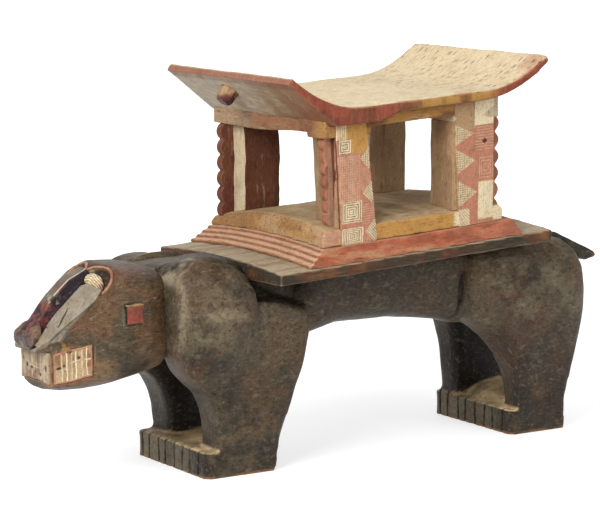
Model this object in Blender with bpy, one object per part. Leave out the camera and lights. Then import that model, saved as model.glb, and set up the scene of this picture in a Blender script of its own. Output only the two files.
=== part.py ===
"""Carved wooden stool: a standing animal that carries a small house-like stool on its back.

Metres, +Z up. The nose points to -X, the animal's own left is -Y, and the floor is z = 0.
The stool on the back climbs towards the tail, so its pieces are made level and then sheared.
"""
import bpy
import bmesh
from collections import namedtuple
from math import cos, sin, pi, radians, copysign
from mathutils import Matrix, Vector

# Fit of touching pieces
CLEAR = 0.0003

# Toe slabs, each shared by two legs
FOOT_THICK = 0.031
FRONT_FOOT_TOE = -0.2215
FRONT_FOOT_LENGTH = 0.0940
FRONT_FOOT_HALF = 0.0820
REAR_FOOT_TOE = 0.2285
REAR_FOOT_LENGTH = 0.0843
REAR_FOOT_HALF = 0.0790
FRONT_HEEL_LEAN = 0.0090
REAR_HEEL_LEAN = 0.0030
REAR_FOOT_SPREAD = 0.0060
FOOT_CORNER = 0.0070
FAR_FOOT_CORNER = 0.0020
TOE_COUNT = 8
TOE_GROOVE_WIDTH = 0.0022
TOE_GROOVE_DEPTH = 0.0025

# Barrel of the body
TRUNK_FRONT = -0.2620
TRUNK_REAR = 0.3120
TRUNK_HALF = 0.0900
CHEEK_HALF = 0.0660
NECK_TOP = 0.2480
CHEST_BOTTOM = 0.1400
BELLY_BOTTOM = 0.1600
NECK_TENON_LENGTH = 0.0240
NECK_TENON_HALF = 0.0300
NECK_TENON_HEIGHT = 0.1960

# Shoulders
SHOULDER_SPRING = 0.1950
HAUNCH_TOP = 0.2475
LEFT_SHOULDER = 0.2590
RIGHT_SHOULDER = 0.2430

# Head
HEAD_HALF = 0.0780
HEAD_BOTTOM = 0.1135
HEAD_TOP = 0.2570
NOSE_TIP = -0.4205
NOSE_HALF = 0.0260
NOSE_HEIGHT = 0.0330
NOSE_DEPTH = 0.0260
MOUTH_SETBACK = 0.0190
MOUTH_TOP = 0.1625
MOUTH_HALF = 0.0370
FACE_ANGLE = radians(42.3)
FACE_TILT = radians(12.0)
FACE_SETBACK = 0.0051
FACE_RISE = 0.0266
RIM_DROP = 0.0100
EAR_HOLLOW_DEPTH = 0.0080
EYE_PANEL_THICK = 0.0060
EYE_PANEL_PROUD = 0.0010
EYE_PANEL_REACH = 0.0525
BRIDGE_LENGTH = 0.0980
BRIDGE_SINK = 0.0040
BRIDGE_TOP_HALF = 0.0095
BRIDGE_FOOT_HALF = 0.0115
EAR_ALONG = 0.0765
EAR_ACROSS = 0.0370
EAR_ARC = 0.0272
EAR_START = radians(158.0)
EAR_RIM_RADIUS = 0.0036
EAR_RIM_PROUD = 0.0012
CURL_ALONG = 0.0820
CURL_ACROSS = 0.0320
CURL_ARC = 0.0125
EAR_CURL_RADIUS = 0.0046
TOOTH_PLATE_THICK = 0.0060
TOOTH_PROUD = 0.0020
TOOTH_MARGIN = 0.0030
FRONT_TOOTH_HEIGHT = 0.0307
SIDE_TOOTH_LENGTH = 0.0440
SIDE_TOOTH_HEIGHT = 0.0280
SIDE_TOOTH_DROP = 0.0300
SIDE_TOOTH_RISE = 0.0060
JAW_FLARE = radians(34.0)
CHEEK_PATCH = 0.0200
CHEEK_PATCH_SETBACK = 0.1065
CHEEK_PATCH_Z = 0.2055
CHEEK_PATCH_OUT = 0.0785
CHEEK_PATCH_DEPTH = 0.0080
MOUTH_FRONT = NOSE_TIP + MOUTH_SETBACK
FACE_FOOT = NOSE_TIP + FACE_SETBACK
FACE_FOOT_HEIGHT = MOUTH_TOP + FACE_RISE
CHEEK_PATCH_X = NOSE_TIP + CHEEK_PATCH_SETBACK

# Tail
TAIL_TIP = 0.4205
TAIL_HALF = 0.0110
TAIL_THICK = 0.0235
TAIL_ROOT_DEPTH = 0.0220
TAIL_ROOT_TOP = 0.2460
TAIL_DROOP = 0.0375

# Board, stepped base and plinth; heights are those at the front edge of the board
SLOPE = 0.060
BOARD_FRONT = -0.1555
BOARD_REAR = 0.2408
BOARD_HALF = 0.1400
BOARD_SEAT = 0.2315
BOARD_THICK = 0.0135
BOARD_ARCH = 0.0070
STEP_COUNT = 4
STEP_TREAD = 0.0070
BASE_SETBACK = 0.0410
BASE_SHORTFALL = 0.0434
BASE_INSET = 0.0005
BASE_HEIGHT = 0.0184
BASE_SIDE_IN = 0.0110
BASE_REAR_IN = 0.0085
PLINTH_SETBACK = 0.0245
PLINTH_SHORTFALL = 0.0229
PLINTH_INSET = 0.0125
PLINTH_HEIGHT = 0.0135
PLINTH_BEVEL = 0.0060
FLOOR_ARCH = 0.0170
FLOOR_LEAN = 0.0370
FLOOR_FALL = 0.0060
BASE_FRONT = BOARD_FRONT + BASE_SETBACK
BASE_REAR = BOARD_REAR - BASE_SHORTFALL
BASE_HALF = BOARD_HALF - BASE_INSET
PLINTH_FRONT = BASE_FRONT + PLINTH_SETBACK
PLINTH_REAR = BASE_REAR - PLINTH_SHORTFALL
PLINTH_HALF = BASE_HALF - PLINTH_INSET

# Posts and fins
POST_HEIGHT = 0.1166
FRONT_POST_SETBACK = 0.0185
FRONT_POST_DEPTH = 0.0505
FRONT_POST_WIDTH = 0.0485
REAR_POST_SHORTFALL = 0.0155
REAR_LEFT_DEPTH = 0.0600
REAR_LEFT_WIDTH = 0.0443
REAR_RIGHT_DEPTH = 0.0350
REAR_RIGHT_WIDTH = 0.0655
POST_INSET = 0.0030
TENON_SHARE = 0.4200
TENON_LENGTH = 0.0060
FIN_REACH = 0.0180
NEAR_FIN_REACH = 0.0115
FIN_LOBE = 0.0060
FIN_INSET = 0.0100
FIN_THICK = 0.0110
FIN_TONGUE = 0.0050
FRONT_FIN_LOBES = 7
REAR_FIN_LOBES = 6
FRONT_POST_X = PLINTH_FRONT + FRONT_POST_SETBACK
REAR_POST_END = PLINTH_REAR - REAR_POST_SHORTFALL
POST_OUTER = PLINTH_HALF - POST_INSET
FIN_INNER = POST_OUTER - FIN_INSET - FIN_THICK

# Beams, rails and seat
LINTEL_HEIGHT = 0.0343
LINTEL_FORWARD = 0.0145
LINTEL_BEHIND = 0.0066
LINTEL_BESIDE = 0.0030
RAIL_RISE = 0.0080
RAIL_WIDTH = 0.0220
RAIL_TENON = 0.0060
SEAT_FORWARD = 0.0530
SEAT_BEHIND = 0.0637
SEAT_BESIDE = 0.0130
SEAT_THICK = 0.0110
SEAT_LIP = 0.0090
FRONT_RISE = 0.0432
FRONT_CURL = 0.0990
REAR_RISE = 0.0341
REAR_CURL = 0.0900
ROOT_SETBACK = 0.0065
ROOT_OVERHANG = 0.0050
ROOT_FADE = 0.0300
ROOT_RISE = 0.0150
KNOB_Y = 0.0300
KNOB_RADIUS = 0.0115
KNOB_REACH = 0.0170
KNOB_SINK = 0.0060
KNOB_ALONG = 0.3800
LINTEL_FRONT = FRONT_POST_X - LINTEL_FORWARD
LINTEL_REAR = REAR_POST_END + LINTEL_BEHIND
LINTEL_HALF = POST_OUTER + LINTEL_BESIDE
LINTEL_BOTTOM = BOARD_SEAT + BOARD_THICK + BASE_HEIGHT + PLINTH_HEIGHT + POST_HEIGHT
RAIL_BOTTOM = LINTEL_BOTTOM + RAIL_RISE
SEAT_FRONT = LINTEL_FRONT - SEAT_FORWARD
SEAT_REAR = LINTEL_REAR + SEAT_BEHIND
SEAT_HALF = LINTEL_HALF + SEAT_BESIDE
SEAT_TOP = LINTEL_BOTTOM + LINTEL_HEIGHT
ROOT_FRONT = LINTEL_FRONT + ROOT_SETBACK
ROOT_REAR = FRONT_POST_X + FRONT_POST_DEPTH + ROOT_OVERHANG
ROOT_BOTTOM = LINTEL_BOTTOM + ROOT_RISE

# Fineness of the facets
RING_POINTS = 24
ARCH_STEPS = 12
CURL_STEPS = 9
HOLLOW_STEPS = 7
LOBE_STEPS = 5
TUBE_SIDES = 8
FACE_POWER = 3.2
LEG_POWER = 4.0
ANKLE_POWER = 10.0
TRUNK_POWER = 4.0

# Colours and roughness of the finishes
DARK_WOOD = ((0.075, 0.056, 0.036), 0.62)
BOARD_WOOD = ((0.150, 0.110, 0.070), 0.60)
RED_PAINT = ((0.480, 0.130, 0.070), 0.75)
OCHRE_PAINT = ((0.500, 0.300, 0.090), 0.75)
CREAM_PAINT = ((0.720, 0.600, 0.380), 0.80)
PINK_PAINT = ((0.440, 0.170, 0.110), 0.78)
GREY_PANEL = ((0.380, 0.350, 0.280), 0.70)
BLACK_WOOD = ((0.030, 0.020, 0.022), 0.45)
SEAT_WOOD = ((0.640, 0.500, 0.300), 0.70)

# One level of a leg: its height, then as shares of its foot's length the front of its inside, how far back
# the outside of the front lies, and its rear, and as shares of the foot's half width its inside and outside
LegLevel = namedtuple("LegLevel", "height front slant rear inner outer")
# One section of the head or barrel: its X, half widths low and high, and its lowest and highest Z
Section = namedtuple("Section", "x low_half high_half bottom top")
# One level of the arched base: front and rear X, half width, height at the board's edge, rise in the middle,
# and how much it falls towards the right and in the middle of its rear edge
Tier = namedtuple("Tier", "front rear half height arch lean fall", defaults=(0.0, 0.0))
# One post: the row and side it stands in, its front X, its depth in X, its inner Y, and the reach and the
# lobes of its fin
Post = namedtuple("Post", "row word side front depth inner reach lobes")


def clear_scene():
    """Remove whatever the scene holds."""
    for item in list(bpy.data.objects):
        bpy.data.objects.remove(item, do_unlink=True)


def finish_material(name, finish):
    """Principled material of one painted or worn finish."""
    colour, roughness = finish
    material = bpy.data.materials.new(name)
    material.use_nodes = True
    shader = material.node_tree.nodes["Principled BSDF"]
    shader.inputs["Base Color"].default_value = (*colour, 1.0)
    shader.inputs["Roughness"].default_value = roughness
    return material


def make_object(name, bm, finish=None):
    """Turn a bmesh into an object with outward faces; a finish makes it a piece of the stool."""
    bmesh.ops.recalc_face_normals(bm, faces=bm.faces)
    mesh = bpy.data.meshes.new(name)
    bm.to_mesh(mesh)
    bm.free()
    item = bpy.data.objects.new(name, mesh)
    bpy.context.scene.collection.objects.link(item)
    if finish:
        mesh.materials.append(finish_material(name, finish))
    return item


def carve(item, tool, operation="DIFFERENCE"):
    """Cut a tool away from an item, or join it on, and use the tool up."""
    modifier = item.modifiers.new("carve", "BOOLEAN")
    modifier.operation = operation
    modifier.solver = "EXACT"
    modifier.object = tool
    graph = bpy.context.evaluated_depsgraph_get()
    cut = bpy.data.meshes.new_from_object(item.evaluated_get(graph))
    item.modifiers.clear()
    item.data = cut
    bpy.data.objects.remove(tool, do_unlink=True)


def grown_form(bm, amount=CLEAR):
    """Cutter from a form whose surface is moved a clearance further out."""
    bmesh.ops.recalc_face_normals(bm, faces=bm.faces)
    bm.normal_update()
    moves = [v.normal * amount * v.calc_shell_factor() for v in bm.verts]
    for vertex, move in zip(bm.verts, moves):
        vertex.co += move
    return make_object("cutter", bm)


def grown(item, amount=CLEAR, lift=0.0):
    """Cutter from a piece, to make the seat that the piece lies in."""
    bm = bmesh.new()
    bm.from_mesh(item.data)
    bmesh.ops.translate(bm, verts=bm.verts, vec=(0.0, 0.0, lift))
    return grown_form(bm, amount)


def loft(rings):
    """Closed body through rings of equal point counts."""
    bm = bmesh.new()
    loops = []
    for ring in rings:
        verts = [bm.verts.new(point) for point in ring]
        edges = [bm.edges.new((a, b)) for a, b in zip(verts, verts[1:] + verts[:1])]
        loops.append((verts, edges))
    for (_, lower), (_, upper) in zip(loops, loops[1:]):
        bmesh.ops.bridge_loops(bm, edges=lower + upper)
    bm.faces.new(loops[0][0])
    bm.faces.new(loops[-1][0])
    bmesh.ops.triangulate(bm, faces=bm.faces)
    return bm


def box(low, high):
    """Rectangular block between two corners."""
    bm = bmesh.new()
    low, high = Vector(low), Vector(high)
    size = Matrix.Diagonal((*(high - low), 1.0))
    bmesh.ops.create_cube(bm, size=1.0, matrix=Matrix.Translation((low + high) / 2) @ size)
    return bm


def prism(outline, direction):
    """Flat outline pushed along a direction."""
    bm = bmesh.new()
    face = bm.faces.new([bm.verts.new(point) for point in outline])
    pushed = bmesh.ops.extrude_face_region(bm, geom=[face])
    moved = [part for part in pushed["geom"] if isinstance(part, bmesh.types.BMVert)]
    bmesh.ops.translate(bm, verts=moved, vec=direction)
    return bm


def rounded_square(power, count=RING_POINTS):
    """Points of a unit outline between a circle and a square."""
    points = []
    for k in range(count):
        angle = 2 * pi * (k + 0.5) / count
        u, v = cos(angle), sin(angle)
        points.append((copysign(abs(u) ** (2 / power), u), copysign(abs(v) ** (2 / power), v)))
    return points


def sheared(bm):
    """Lean a level piece of the stool with the climb of the board."""
    for vertex in bm.verts:
        vertex.co.z += SLOPE * (vertex.co.x - BOARD_FRONT)
    return bm


def arched_stack(tiers):
    """Body of stacked levels, each arched across Y alike."""
    bm = bmesh.new()
    rows = []
    for tier in tiers:
        front, rear = [], []
        for k in range(ARCH_STEPS + 1):
            y = tier.half * (2 * k / ARCH_STEPS - 1)
            z = tier.height + tier.arch * (1 - (y / BOARD_HALF) ** 2) - tier.lean * y
            front.append(bm.verts.new((tier.front, y, z)))
            rear.append(bm.verts.new((tier.rear, y, z - tier.fall * (1 - (y / BOARD_HALF) ** 2))))
        rows.append((front, rear))
    for (front_a, rear_a), (front_b, rear_b) in zip(rows, rows[1:]):
        ring_a = front_a + rear_a[::-1]
        ring_b = front_b + rear_b[::-1]
        for k in range(len(ring_a)):
            n = (k + 1) % len(ring_a)
            bm.faces.new((ring_a[k], ring_a[n], ring_b[n], ring_b[k]))
    for front, rear in (rows[0], rows[-1]):
        for k in range(ARCH_STEPS):
            bm.faces.new((front[k], front[k + 1], rear[k + 1], rear[k]))
    bmesh.ops.triangulate(bm, faces=bm.faces)
    return bm


def foot_slab(name, toe, length, half, far, lean):
    """Toe slab with its front corners cut back, a leaning heel and grooves between the toes."""
    heel = toe + length
    outline = [(heel, -half, 0.0), (heel, far, 0.0), (toe + FAR_FOOT_CORNER, far, 0.0)]
    outline += [(toe, far - FAR_FOOT_CORNER, 0.0), (toe, FOOT_CORNER - half, 0.0)]
    outline += [(toe + FOOT_CORNER, -half, 0.0)]
    block = prism(outline, (0.0, 0.0, FOOT_THICK))
    for vertex in block.verts:
        if vertex.co.x > heel - CLEAR:
            vertex.co.x += lean * vertex.co.z / FOOT_THICK
    slab = make_object(name, block, DARK_WOOD)
    pitch = (half + far) / TOE_COUNT
    for k in range(1, TOE_COUNT):
        y = pitch * k - half
        depth = TOE_GROOVE_DEPTH
        groove = [(toe - depth, y - TOE_GROOVE_WIDTH, -depth), (toe + depth, y, -depth)]
        groove += [(toe - depth, y + TOE_GROOVE_WIDTH, -depth)]
        carve(slab, make_object("groove", prism(groove, (0.0, 0.0, FOOT_THICK + 2 * depth))))
    return slab


def leg(name, side, toe, length, half, levels):
    """Leg lofted upwards from its slab to its domed top."""
    rings = []
    for level in levels:
        mid_x, half_x = (level.front + level.rear) / 2, (level.rear - level.front) / 2
        mid_y, half_y = (level.inner + level.outer) / 2, (level.outer - level.inner) / 2
        power = ANKLE_POWER + (LEG_POWER - ANKLE_POWER) * level.height / levels[-1].height
        rings.append([(toe + length * (mid_x + half_x * u + level.slant * (1 - u) * (1 + v) / 4),
                       side * half * (mid_y + half_y * v), level.height)
                      for u, v in rounded_square(power)])
    return make_object(name, loft(rings), DARK_WOOD)


def foreleg(name, side, crown):
    """Foreleg: a broad plank that swells to a domed shoulder."""
    spring = SHOULDER_SPRING
    dome = crown - spring
    return leg(name, side, FRONT_FOOT_TOE, FRONT_FOOT_LENGTH, FRONT_FOOT_HALF, (
        LegLevel(FOOT_THICK + CLEAR, 0.200, 0.0, 1.090, 0.44, 1.00),
        LegLevel(0.333 * spring, 0.165, 0.0, 1.205, 0.44, 1.02),
        LegLevel(0.426 * spring, 0.115, 0.0, 1.257, 0.45, 1.05),
        LegLevel(0.513 * spring, 0.015, 0.0, 1.314, 0.46, 1.07),
        LegLevel(0.590 * spring, -0.143, 0.0, 1.362, 0.48, 1.11),
        LegLevel(0.677 * spring, -0.340, 0.0, 1.408, 0.49, 1.15),
        LegLevel(0.769 * spring, -0.445, 0.0, 1.432, 0.50, 1.20),
        LegLevel(0.862 * spring, -0.465, 0.0, 1.455, 0.51, 1.23),
        LegLevel(spring, -0.468, 0.0, 1.410, 0.54, 1.26),
        LegLevel(spring + 0.40 * dome, -0.455, 0.0, 0.760, 0.56, 1.24),
        LegLevel(spring + 0.72 * dome, -0.415, 0.0, 0.440, 0.61, 1.20),
        LegLevel(spring + 0.91 * dome, -0.330, 0.0, 0.235, 0.67, 1.11),
        LegLevel(crown, -0.200, 0.0, 0.037, 0.77, 0.99)))


def hindleg(name, side):
    """Hind leg: narrow at the foot, with a broad round haunch; the right one stands straighter."""
    top = HAUNCH_TOP
    fronts = ((0.160, 0.0), (0.110, 0.0), (0.022, 0.024), (-0.135, 0.142), (-0.433, 0.285), (-0.931, 0.119))
    if side > 0:
        fronts = ((0.045, 0.0), (0.037, 0.0), (0.021, 0.0), (0.000, 0.0), (-0.060, 0.0), (-0.450, 0.0))
    return leg(name, side, REAR_FOOT_TOE, REAR_FOOT_LENGTH, REAR_FOOT_HALF, (
        LegLevel(FOOT_THICK + CLEAR, *fronts[0], 1.030, 0.57, 1.00),
        LegLevel(0.242 * top, *fronts[1], 1.092, 0.57, 1.04),
        LegLevel(0.331 * top, *fronts[2], 1.125, 0.57, 1.08),
        LegLevel(0.416 * top, *fronts[3], 1.157, 0.57, 1.13),
        LegLevel(0.517 * top, *fronts[4], 1.200, 0.57, 1.19),
        LegLevel(0.638 * top, *fronts[5], 1.232, 0.57, 1.27),
        LegLevel(0.747 * top, -1.030, 0.071, 1.222, 0.57, 1.32),
        LegLevel(0.857 * top, -1.040, 0.059, 1.176, 0.58, 1.33),
        LegLevel(0.941 * top, -1.010, 0.059, 1.050, 0.61, 1.28),
        LegLevel(top, -0.745, 0.0, 0.824, 0.70, 1.13)))


def lofted_sections(sections, power):
    """Rings across X, each leaning from a low half width to a high one."""
    rings = []
    for part in sections:
        mid, half = (part.top + part.bottom) / 2, (part.top - part.bottom) / 2
        ring = []
        for u, v in rounded_square(power):
            width = part.low_half + (part.high_half - part.low_half) * (v + 1) / 2
            ring.append((part.x, width * u, mid + half * v))
        rings.append(ring)
    return loft(rings)


def trunk_form():
    """Barrel of the body: full in the belly, drawn in where the legs lie against it."""
    slim, full = CHEEK_HALF, TRUNK_HALF
    under = 0.96 * full
    crest = BOARD_SEAT + SLOPE * (BOARD_REAR - BOARD_FRONT)
    rows = (
        (0.000, 0.94 * slim, 0.97 * slim, 1.04 * CHEST_BOTTOM, NECK_TOP),
        (0.056, slim, slim, CHEST_BOTTOM, 1.01 * NECK_TOP),
        (0.270, slim, slim, 1.03 * CHEST_BOTTOM, 1.02 * NECK_TOP),
        (0.318, under, full, 0.96 * BELLY_BOTTOM, 1.02 * NECK_TOP),
        (0.404, under, full, 1.03 * BELLY_BOTTOM, 1.04 * NECK_TOP),
        (0.544, under, full, 1.03 * BELLY_BOTTOM, 1.06 * NECK_TOP),
        (0.704, under, full, 0.95 * BELLY_BOTTOM, 1.07 * NECK_TOP),
        (0.744, slim, slim, 1.03 * CHEST_BOTTOM, 1.02 * crest),
        (0.953, slim, slim, CHEST_BOTTOM, 1.01 * crest),
        (1.000, 0.82 * slim, 0.82 * slim, 1.11 * CHEST_BOTTOM, 0.95 * crest))
    length = TRUNK_REAR - TRUNK_FRONT
    sections = [Section(TRUNK_FRONT + length * share, *rest) for share, *rest in rows]
    return lofted_sections(sections, TRUNK_POWER)


def face_axes(side):
    """Axes of one half of the sloping face: up the slope, away from the middle, and out of the face."""
    up = Vector((cos(FACE_ANGLE), 0.0, sin(FACE_ANGLE)))
    out = Vector((-sin(FACE_ANGLE), 0.0, cos(FACE_ANGLE)))
    across = Vector((0.0, float(side), 0.0))
    tilt = FACE_TILT if side else 0.0
    return up, cos(tilt) * across - sin(tilt) * out, cos(tilt) * out + sin(tilt) * across


def face_point(side, along, away, lift):
    """Point on one half of the face; side 0 is the ridge of the nose, where lift is measured from."""
    up, across, out = face_axes(side)
    return Vector((FACE_FOOT, 0.0, FACE_FOOT_HEIGHT)) + along * up + away * across + lift * out


def face_plate(name, side, outline, top, thick, finish=None):
    """Plate with an outline on one half of the sloping face."""
    points = [face_point(side, along, away, top) for along, away in outline]
    return make_object(name, prism(points, -thick * face_axes(side)[2]), finish)


def swept(name, side, path, radius, finish):
    """Round bar along a path on one half of the face, with flat ends."""
    rings = []
    out = face_axes(side)[2]
    for k, point in enumerate(path):
        ahead = path[min(k + 1, len(path) - 1)] - path[max(k - 1, 0)]
        sideways = ahead.normalized().cross(out)
        turn = [2 * pi * n / TUBE_SIDES for n in range(TUBE_SIDES)]
        rings.append([point + radius * (cos(a) * sideways + sin(a) * out) for a in turn])
    return make_object(name, loft(rings), finish)


def eye_outline():
    """Long leaf from beside the nose up to the hollow of the ear."""
    shares = ((-0.131, 0.590), (0.078, 0.333), (0.588, 0.238), (0.948, 0.257), (1.013, 0.381), (1.013, 0.933),
              (0.863, 1.000), (0.601, 0.905), (0.235, 0.781), (0.000, 0.714))
    return [(EAR_ALONG * along, EYE_PANEL_REACH * away) for along, away in shares]


def arc(radius, along, away, start, steps=CURL_STEPS):
    """Arc on the face as slope and width, turning from the ridge over to the cheek."""
    angles = [start * (1 - k / steps) for k in range(steps + 1)]
    return [(along + radius * sin(a), away + radius * cos(a)) for a in angles]


def head_form():
    """Boxy head that narrows to the mouth, cut along the two halves of the sloping face."""
    rows = (
        (0.000, 0.82, 0.885, 0.115, 0.95),
        (0.177, 0.91, 0.975, 0.070, 0.99),
        (0.398, 0.987, 1.00, 0.035, 1.00),
        (0.511, 0.975, 0.95, 0.021, 1.00),
        (0.618, 0.87, 0.86, 0.007, 0.993),
        (0.744, 0.705, 0.705, 0.00, 0.966),
        (0.871, 0.54, 0.577, 0.021, 0.882),
        (0.975, 0.41, 0.46, 0.139, 0.743))
    rear, high = TRUNK_FRONT - CLEAR, HEAD_TOP - HEAD_BOTTOM
    sections = [Section(rear + (NOSE_TIP - rear) * share, HEAD_HALF * under, HEAD_HALF * over,
                        HEAD_BOTTOM + high * low, HEAD_BOTTOM + high * top)
                for share, under, over, low, top in rows]
    bm = lofted_sections(sections, FACE_POWER)
    for side in (-1, 1):
        cut = bmesh.ops.bisect_plane(bm, geom=bm.verts[:] + bm.edges[:] + bm.faces[:], dist=1e-6,
                                     plane_co=face_point(side, 0.0, 0.0, -RIM_DROP),
                                     plane_no=face_axes(side)[2], clear_outer=True)
        rim = [part for part in cut["geom_cut"] if isinstance(part, bmesh.types.BMEdge)]
        bmesh.ops.contextual_create(bm, geom=rim)
    bmesh.ops.triangulate(bm, faces=bm.faces)
    return bm


def mouth_cutter():
    """Space in front of the teeth, under the overhanging lip."""
    reach = 2 * BOARD_HALF
    return make_object("mouth", box((MOUTH_FRONT - reach, -reach, 0.0), (MOUTH_FRONT, reach, MOUTH_TOP)))


def jaw_frame(side):
    """Axes of a side row of teeth: along the jaw and out of it."""
    along = Vector((cos(JAW_FLARE), side * sin(JAW_FLARE), 0.0))
    out = Vector((-sin(JAW_FLARE), side * cos(JAW_FLARE), 0.0))
    return along, out


def side_teeth(name, side):
    """Plate of teeth on one side of the jaw, higher towards the cheek."""
    along, out = jaw_frame(side)
    low = Vector((MOUTH_FRONT, side * MOUTH_HALF, MOUTH_TOP - SIDE_TOOTH_DROP)) + TOOTH_MARGIN * along
    far = low + SIDE_TOOTH_LENGTH * along + Vector((0.0, 0.0, SIDE_TOOTH_RISE))
    outline = [low, far, far + Vector((0.0, 0.0, SIDE_TOOTH_HEIGHT + SIDE_TOOTH_RISE))]
    outline.append(low + Vector((0.0, 0.0, SIDE_TOOTH_HEIGHT)))
    return make_object(name, prism(outline, -TOOTH_PLATE_THICK * out), CREAM_PAINT)


def jaw_cutter(side):
    """Wedge that trims the jaw flat, a little behind the face of the side teeth."""
    along, out = jaw_frame(side)
    reach = SIDE_TOOTH_LENGTH
    foot = MOUTH_TOP - SIDE_TOOTH_DROP - TOOTH_MARGIN
    corner = Vector((MOUTH_FRONT, side * MOUTH_HALF, foot)) - TOOTH_PROUD * out - reach * along
    end = corner + (2 * reach + 2 * TOOTH_MARGIN) * along
    height = SIDE_TOOTH_HEIGHT + 2 * SIDE_TOOTH_RISE + 2 * TOOTH_MARGIN
    outline = [corner, end, end + reach * out, corner + reach * out]
    return make_object("jaw_trim", prism(outline, (0.0, 0.0, height)))


def front_teeth():
    """Plate of teeth across the front of the jaw."""
    front = MOUTH_FRONT - TOOTH_PROUD
    half = MOUTH_HALF - TOOTH_MARGIN
    top = MOUTH_TOP - CLEAR
    return make_object("front_teeth", box((front, -half, top - FRONT_TOOTH_HEIGHT),
                                          (front + TOOTH_PLATE_THICK, half, top)), CREAM_PAINT)


def nose_block():
    """Blunt block over the mouth, at the foot of the ridge."""
    low = MOUTH_TOP + TOOTH_PROUD
    high = low + NOSE_HEIGHT
    sections = (
        Section(NOSE_TIP, 0.81 * NOSE_HALF, 0.88 * NOSE_HALF, low + 0.12 * NOSE_HEIGHT,
                high - 0.35 * NOSE_HEIGHT),
        Section(NOSE_TIP + 0.2 * NOSE_DEPTH, NOSE_HALF, NOSE_HALF, low, high - 0.14 * NOSE_HEIGHT),
        Section(NOSE_TIP + 0.6 * NOSE_DEPTH, NOSE_HALF, NOSE_HALF, low, high),
        Section(NOSE_TIP + NOSE_DEPTH, 0.85 * NOSE_HALF, 0.85 * NOSE_HALF, low + 0.06 * NOSE_HEIGHT, high))
    return make_object("nose", lofted_sections(sections, FACE_POWER), BLACK_WOOD)


def nose_bridge():
    """Ridge of the nose, flat on top, from the nose block to the brow."""
    foot = -RIM_DROP - BRIDGE_SINK
    outline = [face_point(0, 0.0, 0.0, lift) + Vector((0.0, y, 0.0)) for y, lift in (
        (-BRIDGE_FOOT_HALF, foot), (BRIDGE_FOOT_HALF, foot), (BRIDGE_FOOT_HALF, foot + BRIDGE_SINK),
        (BRIDGE_TOP_HALF, 0.0), (-BRIDGE_TOP_HALF, 0.0), (-BRIDGE_FOOT_HALF, foot + BRIDGE_SINK))]
    return make_object("nose_bridge", prism(outline, BRIDGE_LENGTH * face_axes(0)[0]), BLACK_WOOD)


def cheek_patch(name, side):
    """Red square let into the cheek."""
    half = CHEEK_PATCH / 2
    edges = sorted((side * (CHEEK_PATCH_OUT - CHEEK_PATCH_DEPTH), side * CHEEK_PATCH_OUT))
    return make_object(name, box((CHEEK_PATCH_X - half, edges[0], CHEEK_PATCH_Z - half),
                                 (CHEEK_PATCH_X + half, edges[1], CHEEK_PATCH_Z + half)), RED_PAINT)


def tail():
    """Flat tail that leaves the rump and droops to its blunt tip."""
    root = TRUNK_REAR - TAIL_ROOT_DEPTH
    sections = []
    for share, fall, width, thick in (
            (0.0, 0.0, 1.0, 1.0), (0.487, 0.085, 1.0, 0.99), (0.797, 0.592, 1.0, 0.864),
            (0.877, 0.733, 0.95, 0.74), (0.966, 0.893, 0.8, 0.36), (1.0, 1.0, 0.5, 0.1)):
        top = TAIL_ROOT_TOP - TAIL_DROOP * fall
        half = TAIL_HALF * width
        sections.append(Section(root + (TAIL_TIP - root) * share, half, half, top - TAIL_THICK * thick, top))
    return make_object("tail", lofted_sections(sections, FACE_POWER), DARK_WOOD)


def saddle_board():
    """Dark board, flat below and arched above, that lies in the notch of the back."""
    top = BOARD_SEAT + BOARD_THICK
    return make_object("saddle_board", sheared(arched_stack((
        Tier(BOARD_FRONT, BOARD_REAR, BOARD_HALF, BOARD_SEAT, 0.0),
        Tier(BOARD_FRONT, BOARD_REAR, BOARD_HALF, top, BOARD_ARCH)))), BOARD_WOOD)


def stepped_base():
    """Red base: steps in front, plain slopes at the sides and behind."""
    bottom = BOARD_SEAT + BOARD_THICK + CLEAR
    tiers = []
    for k in range(STEP_COUNT):
        for level in (k, k + 1):
            share = level / STEP_COUNT
            tiers.append(Tier(BASE_FRONT + k * STEP_TREAD, BASE_REAR - BASE_REAR_IN * share,
                              BASE_HALF - BASE_SIDE_IN * share, bottom + BASE_HEIGHT * share, BOARD_ARCH))
    return make_object("stepped_base", sheared(arched_stack(tiers)), RED_PAINT)


def plinth_bottom():
    """Height of the plinth's underside at its edge."""
    return BOARD_SEAT + BOARD_THICK + BASE_HEIGHT + 2 * CLEAR


def plinth_level():
    """Ochre plinth with a domed floor and a front edge that is worn round, before it is sheared."""
    low = plinth_bottom()
    top = low + PLINTH_HEIGHT
    return arched_stack((
        Tier(PLINTH_FRONT, PLINTH_REAR, PLINTH_HALF, low, BOARD_ARCH),
        Tier(PLINTH_FRONT, PLINTH_REAR, PLINTH_HALF, top - PLINTH_BEVEL, FLOOR_ARCH, FLOOR_LEAN, FLOOR_FALL),
        Tier(PLINTH_FRONT + PLINTH_BEVEL, PLINTH_REAR - PLINTH_BEVEL, PLINTH_HALF, top,
             FLOOR_ARCH, FLOOR_LEAN, FLOOR_FALL)))


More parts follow.
